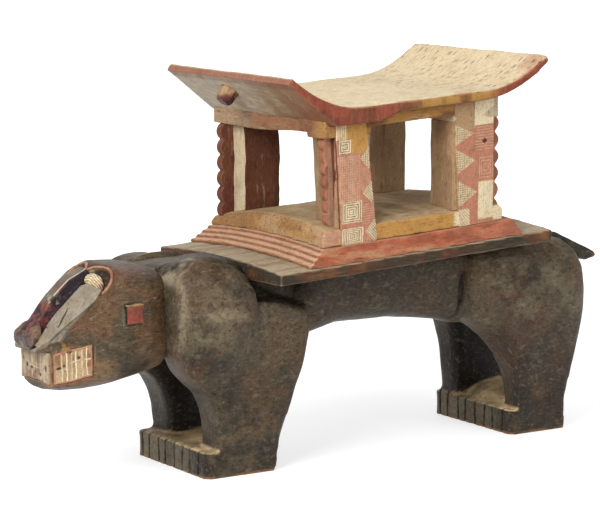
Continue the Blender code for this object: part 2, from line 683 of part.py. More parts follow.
def post(plan, floor):
    """Square post cut to the domed floor, with one tenon running through it into plinth and beam."""
    low = plinth_bottom() + PLINTH_HEIGHT / 2
    edges = sorted((plan.side * plan.inner, plan.side * POST_OUTER))
    rear = plan.front + plan.depth
    body = make_object("post_%s_%s" % (plan.row, plan.word),
                       box((plan.front, edges[0], low), (rear, edges[1], LINTEL_BOTTOM - CLEAR)), CREAM_PAINT)
    carve(body, grown(floor, 0.0, CLEAR))
    inset_x = plan.depth * (1 - TENON_SHARE) / 2
    inset_y = (POST_OUTER - plan.inner) * (1 - TENON_SHARE) / 2
    tenon = make_object("tenon", box(
        (plan.front + inset_x, edges[0] + inset_y, plinth_bottom() + PLINTH_HEIGHT - TENON_LENGTH),
        (rear - inset_x, edges[1] - inset_y, LINTEL_BOTTOM + TENON_LENGTH)))
    carve(body, grown(tenon, 0.0), "UNION")
    return body, tenon


def fin(plan, floor):
    """Thin scalloped fin beside a post; its tongue lies in a groove of the post."""
    low = plinth_bottom() + PLINTH_HEIGHT / 2
    top = LINTEL_BOTTOM - CLEAR
    pitch = (top - low) / plan.lobes
    root, forward = (plan.front, -1) if plan.row == "front" else (plan.front + plan.depth, 1)
    y = plan.side * FIN_INNER
    valley = root + forward * (plan.reach - FIN_LOBE)
    outline = [(root - forward * FIN_TONGUE, y, low), (valley, y, low)]
    for k in range(plan.lobes):
        for n in range(1, LOBE_STEPS + 1):
            share = n / LOBE_STEPS
            outline.append((valley + forward * FIN_LOBE * sin(pi * share), y, low + pitch * (k + share)))
    outline.append((root - forward * FIN_TONGUE, y, top))
    plate = make_object("fin_%s_%s" % (plan.row, plan.word),
                        prism(outline, (0.0, plan.side * FIN_THICK, 0.0)), PINK_PAINT)
    carve(plate, grown(floor, 0.0, CLEAR))
    return plate


def seat_top(x):
    """Height of the seat's upper face before it is sheared."""
    front = max(0.0, (SEAT_FRONT + FRONT_CURL - x) / FRONT_CURL)
    rear = max(0.0, (x - SEAT_REAR + REAR_CURL) / REAR_CURL)
    return SEAT_TOP + FRONT_RISE * front ** 2 + REAR_RISE * rear ** 2


def below_seat(x, thick):
    """Point a thickness below the seat's upper face, square to it."""
    step = 1e-4
    climb = (seat_top(x + step) - seat_top(x - step)) / (2 * step)
    down = Vector((climb, 0.0, -1.0)).normalized()
    return Vector((x, 0.0, seat_top(x))) + thick * down


def seat_level():
    """Curved seat with a thick root over the front beam, before it is sheared."""
    fronts = [SEAT_FRONT + FRONT_CURL * k / CURL_STEPS for k in range(CURL_STEPS + 1)]
    rears = [SEAT_REAR - REAR_CURL * k / CURL_STEPS for k in range(CURL_STEPS, -1, -1)]
    top = [Vector((x, 0.0, seat_top(x))) for x in fronts + rears]
    under = [below_seat(SEAT_FRONT, SEAT_LIP), Vector((ROOT_FRONT, 0.0, ROOT_BOTTOM))]
    under += [Vector((ROOT_REAR, 0.0, ROOT_BOTTOM)), below_seat(ROOT_REAR + ROOT_FADE, SEAT_THICK)]
    for k, x in enumerate(rears):
        under.append(below_seat(x, SEAT_THICK + (SEAT_LIP - SEAT_THICK) * k / CURL_STEPS))
    outline = [point - Vector((0.0, SEAT_HALF, 0.0)) for point in top + under[::-1]]
    return prism(outline, (0.0, 2 * SEAT_HALF, 0.0))


def knob():
    """Stub of a round peg under the front end of the seat."""
    lip = below_seat(SEAT_FRONT, SEAT_LIP)
    root = Vector((ROOT_FRONT, 0.0, ROOT_BOTTOM))
    along = (root - lip).normalized()
    out = Vector((along.z, 0.0, -along.x))
    centre = lip + KNOB_ALONG * (root - lip) + Vector((0.0, KNOB_Y, 0.0))
    across = Vector((0.0, 1.0, 0.0))
    rings = []
    for reach, share in ((-KNOB_SINK, 1.0), (KNOB_REACH * 0.7, 1.0), (KNOB_REACH, 0.72)):
        turn = [2 * pi * n / TUBE_SIDES for n in range(TUBE_SIDES)]
        rings.append([centre + reach * out + share * KNOB_RADIUS * (cos(a) * along + sin(a) * across)
                      for a in turn])
    return make_object("seat_knob", loft(rings), OCHRE_PAINT)


def shear_object(item):
    """Lean a finished piece of the stool."""
    for vertex in item.data.vertices:
        vertex.co.z += SLOPE * (vertex.co.x - BOARD_FRONT)


def board_notch():
    """Space that the board takes out of the back, open above."""
    ends = (BOARD_FRONT - CLEAR, BOARD_REAR + CLEAR, BOARD_HALF + CLEAR)
    return make_object("notch", sheared(arched_stack((
        Tier(*ends, BOARD_SEAT - CLEAR, 0.0), Tier(*ends, SEAT_TOP, 0.0)))))


def build_animal():
    """Body, legs, feet, head and tail, each cut to its neighbours."""
    barrel = make_object("trunk", trunk_form(), DARK_WOOD)
    head = make_object("head", head_form(), DARK_WOOD)
    reach = Vector((NECK_TENON_LENGTH, NECK_TENON_HALF, NECK_TENON_HALF))
    middle = Vector((TRUNK_FRONT, 0.0, NECK_TENON_HEIGHT))
    neck = make_object("neck_tenon", box(middle - reach, middle + reach))
    carve(barrel, grown(neck))
    carve(head, neck, "UNION")
    carve(barrel, board_notch())
    rump_tail = tail()
    carve(barrel, grown(rump_tail))
    foot_slab("front_foot", FRONT_FOOT_TOE, FRONT_FOOT_LENGTH, FRONT_FOOT_HALF, FRONT_FOOT_HALF,
              FRONT_HEEL_LEAN)
    foot_slab("rear_foot", REAR_FOOT_TOE, REAR_FOOT_LENGTH, REAR_FOOT_HALF, REAR_FOOT_HALF + REAR_FOOT_SPREAD,
              REAR_HEEL_LEAN)
    for word, side, crown in (("left", -1, LEFT_SHOULDER), ("right", 1, RIGHT_SHOULDER)):
        for limb in (foreleg("foreleg_" + word, side, crown), hindleg("hindleg_" + word, side)):
            carve(limb, grown_form(trunk_form()))
            carve(limb, grown_form(head_form()))
            carve(limb, board_notch())
    return head


def build_face(head):
    """Nose, ridge, eyes, ears, teeth and cheek patches, let into the head."""
    carve(head, mouth_cutter())
    ridge = nose_bridge()
    snout = nose_block()
    carve(head, grown(snout))
    carve(head, grown(ridge))
    carve(ridge, grown(snout))
    for word, side in (("left", -1), ("right", 1)):
        carve(head, jaw_cutter(side))
        panel = face_plate("eye_panel_" + word, side, eye_outline(), EYE_PANEL_PROUD - RIM_DROP,
                           EYE_PANEL_THICK, GREY_PANEL)
        bow = arc(EAR_ARC, EAR_ALONG, EAR_ACROSS, EAR_START)
        rim = swept("ear_rim_" + word, side,
                    [face_point(side, s, t, EAR_RIM_PROUD - RIM_DROP) for s, t in bow],
                    EAR_RIM_RADIUS, RED_PAINT)
        deep = RIM_DROP + EAR_HOLLOW_DEPTH
        coil = arc(CURL_ARC, CURL_ALONG, CURL_ACROSS, pi)
        curl = swept("ear_curl_" + word, side,
                     [face_point(side, s, t, EAR_CURL_RADIUS + CLEAR - deep) for s, t in coil],
                     EAR_CURL_RADIUS, CREAM_PAINT)
        hollow = arc(EAR_ARC - EAR_RIM_RADIUS / 2, EAR_ALONG, EAR_ACROSS, EAR_START, HOLLOW_STEPS)
        hollow.append((EAR_ALONG, hollow[0][1]))
        carve(head, face_plate("hollow", side, hollow, deep, 2 * deep))
        for plate in (panel, rim):
            carve(head, grown(plate))
        for plate in (panel, rim):
            carve(curl, grown(plate))
        carve(panel, grown(snout))
        for plate in (panel, rim, curl):
            carve(plate, grown(ridge))
        teeth = side_teeth("side_teeth_" + word, side)
        carve(head, grown(teeth))
        patch = cheek_patch("cheek_inlay_" + word, side)
        carve(head, grown(patch))
    carve(head, grown(front_teeth()))


def post_plans():
    """The four posts; the two behind are not alike."""
    front = (FRONT_POST_X, FRONT_POST_DEPTH, POST_OUTER - FRONT_POST_WIDTH)
    rear_left = (REAR_POST_END - REAR_LEFT_DEPTH, REAR_LEFT_DEPTH, POST_OUTER - REAR_LEFT_WIDTH)
    rear_right = (REAR_POST_END - REAR_RIGHT_DEPTH, REAR_RIGHT_DEPTH, POST_OUTER - REAR_RIGHT_WIDTH)
    return (Post("front", "left", -1, *front, NEAR_FIN_REACH, FRONT_FIN_LOBES),
            Post("front", "right", 1, *front, FIN_REACH, FRONT_FIN_LOBES),
            Post("rear", "left", -1, *rear_left, FIN_REACH, REAR_FIN_LOBES),
            Post("rear", "right", 1, *rear_right, FIN_REACH, REAR_FIN_LOBES))


def build_stool():
    """Base, posts, fins, beams and seat on the board, made level and sheared at the end."""
    stepped_base()
    floor = make_object("plinth", plinth_level(), OCHRE_PAINT)
    cover = make_object("seat", seat_level(), SEAT_WOOD)
    peg = knob()
    level = [floor, cover, peg]
    tenons = []
    for plan in post_plans():
        pillar, tenon = post(plan, floor)
        plate = fin(plan, floor)
        carve(pillar, grown(plate))
        tenons.append((plan.row, tenon))
        level += [pillar, plate]
    beams = []
    rear_front = REAR_POST_END - max(REAR_LEFT_DEPTH, REAR_RIGHT_DEPTH)
    spans = (("front", LINTEL_FRONT, FRONT_POST_X + FRONT_POST_DEPTH), ("rear", rear_front, LINTEL_REAR))
    for row, front, rear in spans:
        beam = make_object(row + "_lintel", box((front, -LINTEL_HALF, LINTEL_BOTTOM),
                                                (rear, LINTEL_HALF, SEAT_TOP)), CREAM_PAINT)
        carve(beam, grown(cover))
        for where, tenon in tenons:
            if where == row:
                carve(beam, grown(tenon))
        beams.append(beam)
    for word, side in (("left", -1), ("right", 1)):
        edges = sorted((side * (LINTEL_HALF - RAIL_WIDTH), side * LINTEL_HALF))
        ends = FRONT_POST_X + FRONT_POST_DEPTH - RAIL_TENON, rear_front + RAIL_TENON
        rail = make_object("rail_" + word, box((ends[0], edges[0], RAIL_BOTTOM),
                                               (ends[1], edges[1], SEAT_TOP)), OCHRE_PAINT)
        carve(rail, grown(cover))
        for beam in beams:
            carve(beam, grown(rail))
        level.append(rail)
    for _, tenon in tenons:
        carve(floor, grown(tenon))
        bpy.data.objects.remove(tenon, do_unlink=True)
    carve(cover, grown(peg))
    for item in level + beams:
        shear_object(item)


def gather():
    """Parent every piece to one empty that centres the stool on its box."""
    root = bpy.data.objects.new("stool", None)
    bpy.context.scene.collection.objects.link(root)
    root.location.x = -(NOSE_TIP + TAIL_TIP) / 2
    for item in bpy.context.scene.collection.objects:
        if item.type == "MESH":
            item.parent = root
            item.data.set_sharp_from_angle(angle=radians(32.0))


def main():
    clear_scene()
    saddle_board()
    head = build_animal()
    build_face(head)
    build_stool()
    gather()


main()
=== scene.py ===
"""Dress of a carved wooden stool: a standing animal that carries a small house-like stool on its back."""

from math import cos, radians, sin, sqrt

import bpy
import numpy as np
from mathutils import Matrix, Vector, noise


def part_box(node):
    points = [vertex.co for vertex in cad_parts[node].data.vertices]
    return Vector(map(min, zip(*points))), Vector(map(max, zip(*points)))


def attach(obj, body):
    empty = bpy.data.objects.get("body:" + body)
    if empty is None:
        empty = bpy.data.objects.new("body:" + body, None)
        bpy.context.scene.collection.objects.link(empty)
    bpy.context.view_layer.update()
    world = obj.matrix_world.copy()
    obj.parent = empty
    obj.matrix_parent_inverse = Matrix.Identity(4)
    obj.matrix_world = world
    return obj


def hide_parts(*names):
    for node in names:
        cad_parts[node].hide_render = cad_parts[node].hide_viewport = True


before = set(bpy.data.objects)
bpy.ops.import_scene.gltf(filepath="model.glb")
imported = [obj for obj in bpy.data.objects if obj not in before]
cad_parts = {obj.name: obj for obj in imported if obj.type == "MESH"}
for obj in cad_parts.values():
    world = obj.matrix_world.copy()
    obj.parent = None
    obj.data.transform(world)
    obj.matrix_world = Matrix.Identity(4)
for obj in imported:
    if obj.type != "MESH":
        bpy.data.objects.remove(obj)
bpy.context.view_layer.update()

bl_info = {
    "name": "Carved animal stool",
    "version": (1, 0, 0),
    "blender": (4, 5, 0),
    "location": "3D View > Sidebar > Stool",
    "description": "Carves and paints the pieces of an animal stool over its solids",
    "category": "Object",
}

# Lie of the stool on the back: every level of it climbs towards the tail
SLOPE = 0.060
BOARD_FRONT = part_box("saddle_board")[0].x
SIDES = (("left", -1), ("right", 1))
ROWS = ("front", "rear")
# Levels that the painted faces of the posts run between, and how far out they lie
PLATE_LOW = 0.2652
PLATE_TOP = {"front": 0.4090, "rear": 0.4168}
PLATE_OUT = 0.1275

# Sloping face: its foot on the middle line, its climb, how far each half leans, and how deep it lies
FACE_FOOT = Vector((-0.4154, 0.0, 0.1891))
FACE_ANGLE = radians(42.3)
FACE_TILT = radians(12.0)
FACE_DROP = 0.010
EAR_MIDDLE = (0.086, 0.030)
EAR_REACH = 0.0245

# Side rows of teeth: the corner they start from and how far the jaw opens
JAW_CORNER = Vector((-0.4015, 0.037, 0.1625))
JAW_FLARE = radians(34.0)


def srgb(red, green, blue):
    """Linear colour from the values of a paint chart."""
    return tuple(((v / 255 + 0.055) / 1.055) ** 2.4 if v > 10 else v / 3295 for v in (red, green, blue))


def colour(label, words, red, green, blue):
    """Property for one colour."""
    return bpy.props.FloatVectorProperty(name=label, description=words, subtype="COLOR", size=3, min=0.0,
                                         max=1.0, default=srgb(red, green, blue))


def length(label, words, value):
    """Property for one size in metres."""
    return bpy.props.FloatProperty(name=label, description=words, default=value, min=0.0, precision=4,
                                   unit="LENGTH")


class StoolSizes(bpy.types.PropertyGroup):
    """Sizes of the carving."""
    body_cell: length("Body cell", "Grid of the carved body", 0.0030)
    head_cell: length("Head cell", "Grid of the head", 0.0016)
    face_cell: length("Face cell", "Grid of the small pieces of the face", 0.00075)
    tooth_cell: length("Tooth cell", "Grid of the rows of teeth", 0.0006)
    board_cell: length("Board cell", "Grid of the board, the steps and the plinth", 0.0018)
    post_cell: length("Post cell", "Grid of the posts and their ornament", 0.00072)
    fin_cell: length("Fin cell", "Grid of the scalloped fins", 0.00078)
    beam_cell: length("Beam cell", "Grid of the beams and rails", 0.0014)
    seat_cell: length("Seat cell", "Grid of the seat", 0.0018)
    dome_height: length("Dome height", "Swell of the shoulders", 0.0095)
    adze_depth: length("Adze depth", "Depth of the tool marks on the body", 0.0011)
    cut_depth: length("Cut depth", "Depth of the lines of the ornament", 0.0006)
    toe_cut: length("Toe cut", "Width of the cuts between the toes", 0.0027)
    toe_depth: length("Toe depth", "Depth of the cuts between the toes", 0.0034)


class StoolColours(bpy.types.PropertyGroup):
    """Colours of wood and paint."""
    # Deep wood is also laid as painted shade: low on the body, on the belly, under the board, between the legs, in the
    # groove before the haunch, in the toe cuts, in the eye slits and in the ear hollows.
    deep: colour("Deep wood", "Darkest tone of the animal", 42, 35, 29)
    ground: colour("Ground wood", "Common tone of the animal", 84, 73, 55)
    # Light wood is also laid as painted highlights on the shoulders and on the fronts of the feet.
    light: colour("Light wood", "Ashy streaks of the animal", 132, 120, 94)
    warm: colour("Warm wood", "Brown patches of the animal", 116, 82, 52)
    # Worn wood is also laid as a painted highlight on each shoulder.
    worn: colour("Worn wood", "Rubbed edges of the animal", 172, 156, 128)
    rust: colour("Rust", "Short bright fibres of the wood", 176, 122, 66)
    dust: colour("Dust", "Dusty tops of the feet", 200, 174, 134)
    raw: colour("Raw wood", "Bare wood at the soles", 190, 128, 70)
    grey_board: colour("Grey board", "Top of the board", 180, 164, 138)
    bare: colour("Bare wood", "Wood where paint has gone", 182, 148, 110)
    # Grime also darkens the hollows of the painted pieces, as dirt and painted shade.
    grime_and_shade: colour("Grime", "Dirt in the hollows of the paint", 80, 52, 36)
    cream: colour("Cream", "Pale paint", 236, 218, 180)
    pink: colour("Pink", "Terracotta pink paint", 194, 132, 104)
    blush: colour("Blush", "Pale lines on the pink", 224, 182, 152)
    red: colour("Red", "Red paint", 146, 72, 56)
    orange: colour("Orange", "Orange red paint of the base", 178, 98, 70)
    ochre: colour("Ochre", "Yellow paint", 198, 148, 80)
    brown: colour("Brown", "Dark inner faces", 116, 70, 50)
    olive: colour("Olive", "Dull fronts of the near posts", 158, 130, 96)
    grey: colour("Grey", "Grey panels of the face", 172, 162, 146)
    black: colour("Black", "Polished ridge and nose", 44, 36, 46)
    plum: colour("Plum", "Dark red of the muzzle", 112, 60, 58)
    line: colour("Line", "Bottom of the cut lines", 140, 88, 62)


def tint(name):
    """Colour of that name as an array."""
    return np.array(getattr(bpy.context.scene.stool_colours, name))


# Making meshes

def activate(piece):
    """Make a piece the only selected one."""
    bpy.ops.object.select_all(action="DESELECT")
    piece.select_set(True)
    bpy.context.view_layer.objects.active = piece


def modify(piece, kind, **settings):
    """Add a modifier and apply it."""
    activate(piece)
    bpy.ops.object.modifier_add(type=kind)
    modifier = piece.modifiers[-1]
    for name, value in settings.items():
        setattr(modifier, name, value)
    bpy.ops.object.modifier_apply(modifier=modifier.name)


def gather(name, parts):
    """Join objects into one named piece."""
    activate(parts[0])
    for part in parts:
        part.select_set(True)
    if len(parts) > 1:
        bpy.ops.object.join()
    parts[0].name = name
    parts[0].data.name = name
    return parts[0]


def solids(name, *nodes):
    """Piece that starts as merged copies of solids of the frame."""
    parts = []
    for node in nodes:
        part = bpy.data.objects.new(name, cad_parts[node].data.copy())
        bpy.context.scene.collection.objects.link(part)
        part.data.materials.clear()
        parts.append(part)
    piece = gather(name, parts)
    bpy.ops.object.mode_set(mode="EDIT")
    bpy.ops.mesh.select_all(action="SELECT")
    bpy.ops.mesh.remove_doubles(threshold=0.00001)
    bpy.ops.object.mode_set(mode="OBJECT")
    return piece


def plank(corner):
    """Block whose eight corners come from a function of their three signs."""
    bpy.ops.object.select_all(action="DESELECT")
    bpy.ops.mesh.primitive_cube_add(size=2.0)
    part = bpy.context.object
    place(part, np.array([corner(*signs) for signs in points(part).tolist()]))
    bpy.ops.object.mode_set(mode="EDIT")
    bpy.ops.mesh.select_all(action="SELECT")
    bpy.ops.mesh.normals_make_consistent(inside=False)
    bpy.ops.object.mode_set(mode="OBJECT")
    return part


def pebble(centre, size):
    """Rounded lump at a place."""
    bpy.ops.object.select_all(action="DESELECT")
    bpy.ops.mesh.primitive_uv_sphere_add(segments=32, ring_count=16, radius=1.0, location=centre, scale=size)
    part = bpy.context.object
    bpy.ops.object.transform_apply(location=True, rotation=True, scale=True)
    return part


def regrid(piece, cell, rounds):
    """Even grid of quads over a piece, with its corners rubbed round."""
    modify(piece, "REMESH", mode="VOXEL", voxel_size=cell, use_smooth_shade=True)
    if rounds:
        modify(piece, "SMOOTH", factor=0.5, iterations=rounds)


def rub(piece, chosen, rounds):
    """Smooth only the chosen vertices."""
    group = piece.vertex_groups.new(name="rubbed")
    group.add([int(n) for n in np.nonzero(chosen)[0]], 1.0, "REPLACE")
    modify(piece, "SMOOTH", factor=0.5, iterations=rounds, vertex_group=group.name)
    piece.vertex_groups.clear()


def refine(piece, inside, cuts):
    """Cut the faces whose middle lies inside into finer ones."""
    activate(piece)
    bpy.context.tool_settings.mesh_select_mode = (False, False, True)
    bpy.ops.object.mode_set(mode="EDIT")
    bpy.ops.mesh.select_all(action="DESELECT")
    bpy.ops.object.mode_set(mode="OBJECT")
    middles = np.empty(len(piece.data.polygons) * 3)
    piece.data.polygons.foreach_get("center", middles)
    piece.data.polygons.foreach_set("select", inside(middles.reshape(-1, 3)))
    bpy.ops.object.mode_set(mode="EDIT")
    bpy.ops.mesh.subdivide(number_cuts=cuts)
    bpy.ops.object.mode_set(mode="OBJECT")


def points(piece):
    """Places of a piece's vertices."""
    flat = np.empty(len(piece.data.vertices) * 3)
    piece.data.vertices.foreach_get("co", flat)
    return flat.reshape(-1, 3)


def normals(piece):
    """Normals of a piece's vertices."""
    flat = np.empty(len(piece.data.vertices) * 3)
    piece.data.vertices.foreach_get("normal", flat)
    return flat.reshape(-1, 3)


def place(piece, moved):
    """Give the vertices new places."""
    piece.data.vertices.foreach_set("co", moved.ravel())
    piece.data.update()


def push(piece, amounts):
    """Move every vertex out along its normal."""
    place(piece, points(piece) + normals(piece) * amounts[:, None])


def ease(value, low, high):
    """Smooth step from 0 at low to 1 at high."""
    share = np.clip((value - low) / (high - low), 0.0, 1.0)
    return share * share * (3 - 2 * share)


def drift(spots, scale, seed=0.0):
    """Soft noise about 0 at each spot; scale is in waves per metre, one for each axis."""
    shift = Vector((seed, 2.7 * seed, -1.3 * seed))
    wave = Vector(scale)
    return np.array([noise.fractal(Vector(p) * wave + shift, 1.0, 2.0, 3) for p in spots])


def scoops(spots, scale, seed=0.0):
    """Hollows of an adze, low in the middle of each and high on the ridges between."""
    shift = Vector((seed, 2.7 * seed, -1.3 * seed))
    wave = Vector(scale)
    return np.array([noise.voronoi(Vector(p) * wave + shift)[0][0] for p in spots]) - 0.4


def level(spots):
    """Height with the climb of the stool taken off."""
    return spots[:, 2] - SLOPE * (spots[:, 0] - BOARD_FRONT)


class Coat:
    """Paint of a piece: a colour at each vertex, how much of the wood it covers, and where dashes show."""

    def __init__(self, piece, ground=None):
        self.piece = piece
        count = len(piece.data.vertices)
        self.values = np.zeros((count, 4))
        self.marks = np.zeros(count)
        if ground is not None:
            self.add(tint(ground), np.ones(count))

    def add(self, shade, mask):
        """Lay a colour over what is there."""
        mask = np.clip(mask, 0.0, 1.0) * np.ones(len(self.values))
        kept = self.values[:, 3] * (1 - mask)
        cover = kept + mask
        mixed = self.values[:, :3] * kept[:, None] + np.asarray(shade) * mask[:, None]
        self.values[:, :3] = mixed / np.maximum(cover, 1e-6)[:, None]
        self.values[:, 3] = cover

    def lay(self):
        """Write the paint on the mesh."""
        layer = self.piece.data.attributes.new("paint", "FLOAT_COLOR", "POINT")
        layer.data.foreach_set("color", self.values.astype(np.float32).ravel())
        layer = self.piece.data.attributes.new("marks", "FLOAT", "POINT")
        layer.data.foreach_set("value", self.marks.astype(np.float32))


# Making materials

class Tap:
    """Output of a node; sums on it add Math nodes."""

    def __init__(self, bench, socket):
        self.bench = bench
        self.socket = socket

    def maths(self, operation, first, second):
        return self.bench.node("ShaderNodeMath", {"operation": operation}, {0: first, 1: second})

    def __add__(self, other):
        return self.maths("ADD", self, other)

    __radd__ = __add__

    def __mul__(self, other):
        return self.maths("MULTIPLY", self, other)

    __rmul__ = __mul__

    def __sub__(self, other):
        return self.maths("SUBTRACT", self, other)

    def __rsub__(self, other):
        return self.maths("SUBTRACT", other, self)

    def between(self, low, high):
        """0 at low and 1 at high, with soft ends."""
        return self.bench.node("ShaderNodeMapRange", {"interpolation_type": "SMOOTHSTEP"},
                               {"Value": self, "From Min": low, "From Max": high})


class Bench:
    """Material under construction."""

    def __init__(self, name):
        self.material = bpy.data.materials.new(name)
        self.material.use_nodes = True
        self.tree = self.material.node_tree
        self.shader = self.tree.nodes["Principled BSDF"]

    def plug(self, socket, value):
        """Link a tap to a socket, or set the socket's own value."""
        if isinstance(value, Tap):
            self.tree.links.new(value.socket, socket)
        elif hasattr(socket.default_value, "__len__") and len(socket.default_value) == 4:
            socket.default_value = (*list(value)[:3], 1.0)
        else:
            socket.default_value = value

    def node(self, kind, settings=None, sockets=None, out=0):
        """Any node: its settings, the values or taps of its sockets, and which output is wanted."""
        made = self.tree.nodes.new(kind)
        for name, value in (settings or {}).items():
            setattr(made, name, value)
        for key, value in (sockets or {}).items():
            self.plug(made.inputs[key], value)
        return Tap(self, made.outputs[out])

    def mix(self, first, second, factor, blend="MIX"):
        """Colour between two."""
        return self.node("ShaderNodeMix", {"data_type": "RGBA", "blend_type": blend},
                         {0: factor, 6: first, 7: second}, 2)

    def noise(self, place, scale, detail=4.0, roughness=0.55):
        """Noise value at a place."""
        return self.node("ShaderNodeTexNoise", None, {"Vector": place, "Scale": scale, "Detail": detail,
                                                      "Roughness": roughness})

    def surface(self, **sockets):
        """Set sockets of the shader."""
        for name, value in sockets.items():
            self.plug(self.shader.inputs[name.replace("_", " ").title()], value)


def carved_wood(name, tones, grain, rough, wear, bump, fleck, hide):
    """Wood with streaks along its grain, rubbed edges, hollows darkened as dirt and painted shade, and what is left of
    its paint.
    """
    deep, ground, light, warm, worn, grime_and_shade, dash = (tint(t) for t in tones)
    bench = Bench(name)
    here = bench.node("ShaderNodeTexCoord", out="Object")
    along = bench.node("ShaderNodeMapping", None, {"Vector": here, "Scale": grain})
    broad = bench.noise(here, 8.0, 4.0)
    mottle = bench.noise(here, 55.0, 5.0, 0.65)
    streak = bench.noise(along, 1.0, 5.0, 0.62)
    fibre = bench.noise(along, 3.7, 3.0, 0.6)
    skin = bench.node("ShaderNodeMapping", None, {"Vector": here, "Scale": [1.6 * sqrt(150.0 * g) for g in grain]})
    leather = bench.noise(skin, 1.0, 5.0, 0.68)
    pit = bench.noise(here, 430.0, 2.0)
    sharp = bench.node("ShaderNodeNewGeometry", out="Pointiness")
    rim = sharp.between(0.515, 0.57)
    hollow = sharp.between(0.485, 0.43)
    wood = bench.mix(ground, deep, broad.between(0.42, 0.64))
    wood = bench.mix(wood, warm, mottle.between(0.5, 0.74) * 0.5)
    wood = bench.mix(wood, light, streak.between(0.52, 0.74) * 0.55)
    wood = bench.mix(wood, worn, rim * mottle.between(0.3, 0.6) * 0.7)
    stain = bench.node("ShaderNodeAttribute", {"attribute_name": "paint"}, out="Color")
    cover = bench.node("ShaderNodeAttribute", {"attribute_name": "paint"}, out="Alpha")
    marked = bench.node("ShaderNodeAttribute", {"attribute_name": "marks"}, out="Fac")
    faded = bench.mix(stain, (0.52, 0.46, 0.40), mottle.between(0.45, 0.8) * 0.5, "MULTIPLY")
    faded = bench.mix(faded, (1.0, 0.96, 0.88), streak.between(0.58, 0.8) * 0.2)
    gone = rim * mottle.between(0.35, 0.6) * wear + (streak * broad).between(0.30, 0.42) * (0.4 * wear)
    look = bench.mix(wood, faded, cover * (1.0 - gone))
    # Hollows darkened by pointiness: dirt and painted shade in the creases.
    look = bench.mix(look, grime_and_shade, hollow * 0.75)
    look = bench.mix(look, (0.40, 0.35, 0.30), fibre.between(0.5, 0.72) * 0.42, "MULTIPLY")
    look = bench.mix(look, (0.34, 0.30, 0.28), leather.between(0.48, 0.70) * (0.85 * hide), "MULTIPLY")
    look = bench.mix(look, (0.42, 0.36, 0.31), pit.between(0.54, 0.72) * 0.5, "MULTIPLY")
    look = bench.mix(look, worn, (1.0 - fibre).between(0.56, 0.72) * 0.16)
    look = bench.mix(look, worn, (1.0 - leather).between(0.56, 0.74) * (0.26 * hide))
    short = bench.node("ShaderNodeMapping", None, {"Vector": here, "Scale": [2.3 * g for g in grain]})
    look = bench.mix(look, dash, bench.noise(short, 1.0, 1.0, 0.4).between(0.64, 0.69) * fleck)
    long = bench.node("ShaderNodeMapping", None, {"Vector": here, "Scale": [1.8 * g for g in grain]})
    spread = bench.node("ShaderNodeTexVoronoi", None, {"Vector": long, "Scale": 1.0}, "Distance")
    chance = bench.node("ShaderNodeTexVoronoi", None, {"Vector": long, "Scale": 1.0}, "Color")
    kept = bench.node("ShaderNodeSeparateColor", None, {"Color": chance}, "Red").between(0.80, 0.84)
    look = bench.mix(look, dash, spread.between(0.42, 0.28) * kept * marked)
    height = streak * 0.35 + fibre * 0.3 + mottle * 0.3 + pit * 0.25 - leather * (0.6 * hide)
    dent = bench.node("ShaderNodeBump", None, {"Strength": bump, "Distance": 0.0018, "Height": height})
    bench.surface(base_color=look, roughness=broad * 0.3 + mottle * 0.2 + (rough - 0.22), normal=dent)
    bench.shader.inputs["Specular IOR Level"].default_value = 0.22
    return bench.material


ANIMAL = ("deep", "ground", "light", "warm", "worn", "deep", "worn")
PAINTED = ("bare", "bare", "cream", "ochre", "bare", "grime_and_shade", "grime_and_shade")
BOARDED = ("warm", "ground", "grey_board", "light", "worn", "deep", "deep")

# Each finish: tones, waves along the grain in each axis, roughness, wear of the paint, relief, dashes, leathery skin
FINISHES = {
    "animal_wood": (ANIMAL, (60.0, 190.0, 110.0), 0.40, 0.4, 0.9, 0.05, 1.15),
    "head_wood": (ANIMAL, (45.0, 190.0, 220.0), 0.40, 0.4, 0.8, 0.08, 1.05),
    "plank_wood": (BOARDED, (16.0, 170.0, 170.0), 0.62, 0.4, 0.7, 0.4, 0.4),
    "upright_paint": (PAINTED, (170.0, 170.0, 36.0), 0.75, 0.55, 0.5, 0.12, 0.25),
    "level_paint": (PAINTED, (26.0, 170.0, 170.0), 0.75, 0.5, 0.5, 0.2, 0.35),
    "seat_paint": (PAINTED, (48.0, 250.0, 12.0), 0.7, 0.35, 0.6, 0.02, 0.2),
    "cross_paint": (PAINTED, (170.0, 26.0, 170.0), 0.75, 0.5, 0.5, 0.2, 0.35),
    "polished_paint": (PAINTED, (70.0, 70.0, 70.0), 0.40, 0.3, 0.4, 0.06, 0.4),
}


def finish(piece, material, slot, *nodes):
    """Give a piece its material and its place in the frame."""
    made = bpy.data.materials.get(material) or carved_wood(material, *FINISHES[material])
    piece.data.materials.clear()
    piece.data.materials.append(made)
    activate(piece)
    bpy.ops.object.shade_smooth_by_angle(angle=radians(50.0))
    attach(piece, "root")
    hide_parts(*nodes)


# Ornament of the posts

def waves(value, pitch):
    """Cut lines at a pitch: 1 in the middle of each line."""
    return ease(np.abs((value / pitch) % 1.0 - 0.5), 0.26, 0.38)


def figure(form, along, up, spot):
    """Mask of a box or a diamond about a spot, soft for half a millimetre."""
    middle_a, middle_u, half_a, half_u = spot
    away_a, away_u = np.abs(along - middle_a), np.abs(up - middle_u)
    if form == "diamond":
        return ease(1 - away_a / half_a - away_u / half_u, 0.0, 0.08)
    return ease(np.minimum(half_a - away_a, half_u - away_u), -0.4, 0.4)


def lines(kind, along, up, spot, pitch):
    """Cut lines of one figure."""
    middle_a, middle_u, half_a, half_u = spot
    if kind == "squares":
        return waves(np.maximum(np.abs(along - middle_a), np.abs(up - middle_u) * half_a / half_u), pitch)
    if kind == "level":
        return waves(up, pitch)
    if kind == "upright":
        return waves(along, pitch)
    if kind == "slant":
        return waves(along + up, pitch * 1.4)
    if kind == "cross":
        return np.maximum(waves(along, pitch), waves(up, pitch))
    return np.zeros(len(along))


